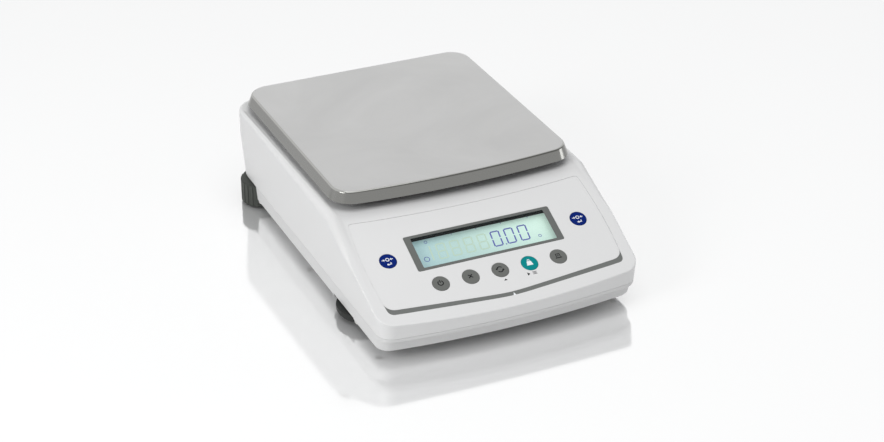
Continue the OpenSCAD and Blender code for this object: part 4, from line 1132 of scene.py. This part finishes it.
@dataclass
class LevellingFoot:
    """Levelling wheel on its spindle, with the rubber pad below it."""

    corner: str
    top: float
    ribs: int = 0
    bottom: float = 2.0 * MM
    depth: float = 0.45 * MM
    share: float = 0.75
    chamfer: float = 0.4 * MM
    rounding: float = 0.2 * MM
    bowl: float = 4.8 * MM
    bowl_in: float = 0.9 * MM
    spindle: float = 4 * MM
    spindle_over: float = 2.1 * MM
    pad_height: float = 1.7 * MM
    pad_edge: float = 0.35 * MM
    pad_border: float = 2.5 * MM
    pad_slope: float = 0.6 * MM
    pad_hollow: float = 0.4 * MM
    pin: float = 1.8 * MM
    pin_low: float = 1.5 * MM

    def build(self) -> None:
        """Model the wheel and the pad and dress them."""
        node = "wheel_" + self.corner
        low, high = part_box(node)
        pad_low, pad_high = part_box("pad_" + self.corner)
        at = Matrix.Translation(((low.x + high.x) / 2, (low.y + high.y) / 2, 0))
        radius = (high.x - low.x) / 2
        wheel = self.ribbed(radius) if self.ribs else self.smooth_bowl(radius)
        shaft = Bench.cylinder(self.spindle, pad_low.z + self.spindle_over, high.z, sides=48)
        grip = Bench.join("grip_" + self.corner, [wheel, shaft])
        Bench.settle(grip, at)
        Bench.smooth(grip, degrees=30.0)
        # The low front wheels take the darker copy of the plastic, painted shade.
        dress(grip, Shop.wheel if self.ribs else Shop.shaded_wheel, node, [node])
        self.pad(at, (pad_high.x - pad_low.x) / 2, pad_high.z)

    def ribbed(self, radius: float) -> Object:
        """Model a wheel with wide ribs between narrow grooves.

        Args:
            radius: the radius over the ribs.
        Returns:
            The wheel round the Z axis.
        """
        wheel = Bench.cylinder(radius - self.depth, self.bottom, self.top, sides=4 * self.ribs)
        Bench.edit(wheel, action="DESELECT")
        step = 2 * math.pi / self.ribs
        level = Bench.level()

        def on_rib(face: bmesh.types.BMFace) -> bool:
            """Tell whether a side face belongs to a rib."""
            middle = face.calc_center_median()
            return not level(face) and math.atan2(middle.y, middle.x) % step < self.share * step

        Bench.choose(wheel, on_rib)
        Bench.grow(radius / (radius - self.depth))
        Bench.choose(wheel, level)
        bpy.ops.mesh.bevel(offset=self.chamfer, segments=2, affect="EDGES")
        Bench.apply(wheel, "BEVEL", width=self.rounding, segments=2, limit_method="ANGLE",
                    angle_limit=math.radians(30))
        return wheel

    def smooth_bowl(self, radius: float) -> Object:
        """Model a low wheel whose lower edge is rounded like a bowl.

        Args:
            radius: the CAD wheel's radius, inside which it stays.
        Returns:
            The wheel round the Z axis.
        """
        wheel = Bench.cylinder(radius - self.bowl_in, self.bottom, self.top, sides=96)
        Bench.open_at(wheel, -1)
        bpy.ops.mesh.bevel(offset=self.bowl, segments=8, affect="EDGES")
        Bench.choose(wheel, Bench.level(1))
        bpy.ops.mesh.bevel(offset=self.chamfer, segments=3, affect="EDGES")
        return wheel

    def pad(self, at: Matrix, radius: float, top: float) -> None:
        """Model the pad with its rounded tread and its pin.

        Args:
            at: the place of the foot's axis.
            radius: the tread's radius.
            top: the height of the pin's end.
        """
        pad = Bench.cylinder(radius, 0.0, self.pad_height, sides=64)
        Bench.open_at(pad)
        bpy.ops.mesh.bevel(offset=self.pad_edge, segments=3, affect="EDGES")
        Bench.choose(pad, Bench.level(-1, Bench.MANY))
        bpy.ops.mesh.inset(thickness=self.pad_border)
        bpy.ops.mesh.inset(thickness=self.pad_slope, depth=-self.pad_hollow)
        pin = Bench.cylinder(self.pin, self.pin_low, top, sides=32)
        foot = Bench.join("tread_" + self.corner, [pad, pin])
        Bench.settle(foot, at)
        Bench.smooth(foot, degrees=40.0)
        dress(foot, Shop.pad, "pad_" + self.corner, ["pad_" + self.corner])


@dataclass
class Inside:
    """Everything below the shells: boards, cables, sockets and the weigh cell."""

    nodes: dict = field(default_factory=lambda: {
        "key_board": (Shop.board, "housing"), "key_switches": (Shop.parts, "housing"),
        "key_board_screws": (Shop.screw, "housing"), "main_board": (Shop.board, "housing"),
        "main_board_parts": (Shop.parts, "housing"), "main_board_screws": (Shop.screw, "housing"),
        "power_socket": (Shop.bezel, "housing"), "data_socket": (Shop.screw, "housing"),
        "ribbon_cable": (Shop.ribbon, "housing"), "cell_frame": (Shop.milled, "housing"),
        "upper_guide": (Shop.spring, "upper_guide"), "lower_guide": (Shop.spring, "lower_guide"),
        "guide_clamp": (Shop.milled, "housing"), "receptor_clamp": (Shop.milled, "load_carrier"),
        "load_receptor": (Shop.milled, "load_carrier"), "coupling_link": (Shop.spring, "load_carrier"),
        "transmission_lever": (Shop.milled, "lever"), "magnet_pot": (Shop.magnet, "housing"),
        "magnet_core": (Shop.magnet, "housing"), "coil": (Shop.copper, "lever"),
        "position_sensor": (Shop.parts, "housing"), "cell_screws": (Shop.screw, "housing"),
        "foot_bushes": (Shop.brass, "housing"), "pan_support": (Shop.cast, "pan_support"),
        "pan_buffers": (Shop.rubber, "pan_support")})
    bevel: float = 0.15 * MM
    pins_x: float = 22 * MM
    pins_z: float = 35.5 * MM
    pins_in: float = 3.6 * MM
    pin_pitch: float = 2.77 * MM
    pin_rise: float = 1.42 * MM
    pin_radius: float = 0.5 * MM
    pin_half: float = 2 * MM

    def build(self) -> None:
        """Copy each inner node with rounded edges and its own finish."""
        for node, (finish, body) in self.nodes.items():
            dress(refined(node, node + "_shown", self.bevel), finish, body, [node])
        self.pins()

    def pins(self) -> None:
        """Model the contacts in the data socket, five over four."""
        low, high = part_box("data_socket")
        pins = []
        for side, count in ((1, 5), (-1, 4)):
            for k in range(count):
                place = (self.pins_x + (k - (count - 1) / 2) * self.pin_pitch, high.y - self.pins_in,
                         self.pins_z + side * self.pin_rise)
                pins.append(Bench.cylinder(self.pin_radius, -self.pin_half, self.pin_half, sides=12,
                                           axis=Axis.Y, base=place))
        dress(Bench.join("data_pins", pins), Shop.brass, "housing")


@dataclass
class Studio:
    """Pale bench top, soft lamps and the camera of the photograph."""

    place: tuple = (-0.58049, -1.29536, 0.80206)
    azimuth: float = math.radians(-24.49)
    elevation: float = math.radians(28.76)
    lens: float = 84.505
    sensor: float = 36.0
    near: float = 0.05
    far: float = 50.0
    soft: float = 0.46
    aim: Vector = field(default_factory=lambda: Vector((0, 0, 0.05)))
    lamps: tuple = (("lamp_top", (-0.15, -0.42, 1.7), 1.3, 11.4),
                    ("lamp_left", (-1.5, -0.5, 0.95), 0.7, 10.6),
                    ("lamp_right", (1.55, -0.4, 0.28), 0.5, 2.4))
    floor_size: float = 30.0
    polish: float = 0.66
    haze: float = 0.09

    def build(self) -> None:
        """Set up the camera, world, lamps and floor."""
        self.camera()
        self.world()
        for row in self.lamps:
            self.lamp(*row)
        self.floor()
        bpy.context.scene.view_settings.view_transform = "Standard"

    def stand(self, name: str, data: bpy.types.ID, place: tuple, looks: Vector) -> Object:
        """Stand a camera or a lamp in the scene.

        Args:
            name: the object's name.
            data: the camera or the lamp.
            place: where it stands.
            looks: the direction that it looks in.
        Returns:
            The object.
        """
        thing = bpy.data.objects.new(name, data)
        bpy.context.scene.collection.objects.link(thing)
        thing.location = place
        thing.rotation_mode = "QUATERNION"
        thing.rotation_quaternion = looks.to_track_quat("-Z", "Y")
        return thing

    def camera(self) -> None:
        """Place the camera by its bearing and rise."""
        data = bpy.data.cameras.new("camera")
        data.lens, data.sensor_width = self.lens, self.sensor
        data.clip_start, data.clip_end = self.near, self.far
        level = math.cos(self.elevation)
        looks = -Vector((math.sin(self.azimuth) * level, -math.cos(self.azimuth) * level,
                         math.sin(self.elevation)))
        bpy.context.scene.camera = self.stand("camera", data, self.place, looks)

    def lamp(self, name: str, place: tuple, size: float, power: float) -> None:
        """Add a square area lamp that faces the balance.

        Args:
            name: the lamp's name.
            place: where it stands.
            size: the length of its side.
            power: its power in watts.
        """
        data = bpy.data.lights.new(name, "AREA")
        data.shape, data.size, data.energy = "SQUARE", size, power
        self.stand(name, data, place, self.aim - Vector(place))

    def world(self) -> None:
        """Light softly from all round, and show white to rays that have met no matt surface."""
        world = bpy.data.worlds.new("studio")
        bpy.context.scene.world = world
        world.use_nodes = True
        tree = world.node_tree
        tree.nodes.clear()

        def sky(colour: tuple, strength: float) -> NodeSocket:
            """Make a plain background.

            Args:
                colour: its colour.
                strength: its strength, where 1 shows a white as white.
            Returns:
                The background's socket.
            """
            node = tree.nodes.new("ShaderNodeBackground")
            node.inputs["Color"].default_value = colour
            node.inputs["Strength"].default_value = strength
            return node.outputs["Background"]

        def both(operation: str, first: NodeSocket, second: object) -> NodeSocket:
            """Join two values by an operation, clamped to 0 and 1.

            Args:
                operation: the operation's Blender name.
                first: a socket.
                second: a socket or a number.
            Returns:
                The result's socket.
            """
            node = tree.nodes.new("ShaderNodeMath")
            node.operation, node.use_clamp = operation, True
            tree.links.new(first, node.inputs[0])
            if isinstance(second, float):
                node.inputs[1].default_value = second
            else:
                tree.links.new(second, node.inputs[1])
            return node.outputs["Value"]

        path = tree.nodes.new("ShaderNodeLightPath").outputs
        seen = both("ADD", path["Is Camera Ray"], path["Is Glossy Ray"])
        seen = both("ADD", seen, path["Is Transmission Ray"])
        unlit = both("LESS_THAN", path["Diffuse Depth"], 0.5)
        mix = tree.nodes.new("ShaderNodeMixShader")
        output = tree.nodes.new("ShaderNodeOutputWorld")
        tree.links.new(both("MULTIPLY", seen, unlit), mix.inputs["Fac"])
        tree.links.new(sky((0.97, 0.98, 1.0, 1.0), self.soft), mix.inputs[1])
        tree.links.new(sky((1.0, 1.0, 1.0, 1.0), 1.0), mix.inputs[2])
        tree.links.new(mix.outputs["Shader"], output.inputs["Surface"])

    def floor(self) -> None:
        """Add the pale polished bench top."""
        Bench.clear()
        bpy.ops.mesh.primitive_plane_add(size=self.floor_size, location=(0, 0, 0))
        floor = bpy.context.active_object
        floor.name = "bench_top"
        Bench.settle(floor)
        maker = NodeMaker("bench_white")
        matt = maker.add("BsdfDiffuse", Color=(1.0, 1.0, 1.0, 1.0))
        mirror = maker.add("BsdfGlossy", Color=(1.0, 1.0, 1.0, 1.0), Roughness=self.haze)
        mix = maker.add("MixShader")
        mix.inputs["Fac"].default_value = self.polish
        maker.link(matt.outputs[0], mix.inputs[1])
        maker.link(mirror.outputs[0], mix.inputs[2])
        floor.data.materials.append(maker.finish(mix))


def main() -> None:
    """Build the studio and every sub-assembly in order."""
    logging.basicConfig(level=logging.INFO, format="%(name)s: %(message)s")
    Studio().build()
    Casing().build()
    Display().build()
    KeyField().build()
    Pan().build()
    for side in ("left", "right"):
        LevellingFoot("front_" + side, top=9.4 * MM).build()
        LevellingFoot("rear_" + side, top=20.5 * MM, ribs=24).build()
    Inside().build()


if __name__ == "__main__":
    main()
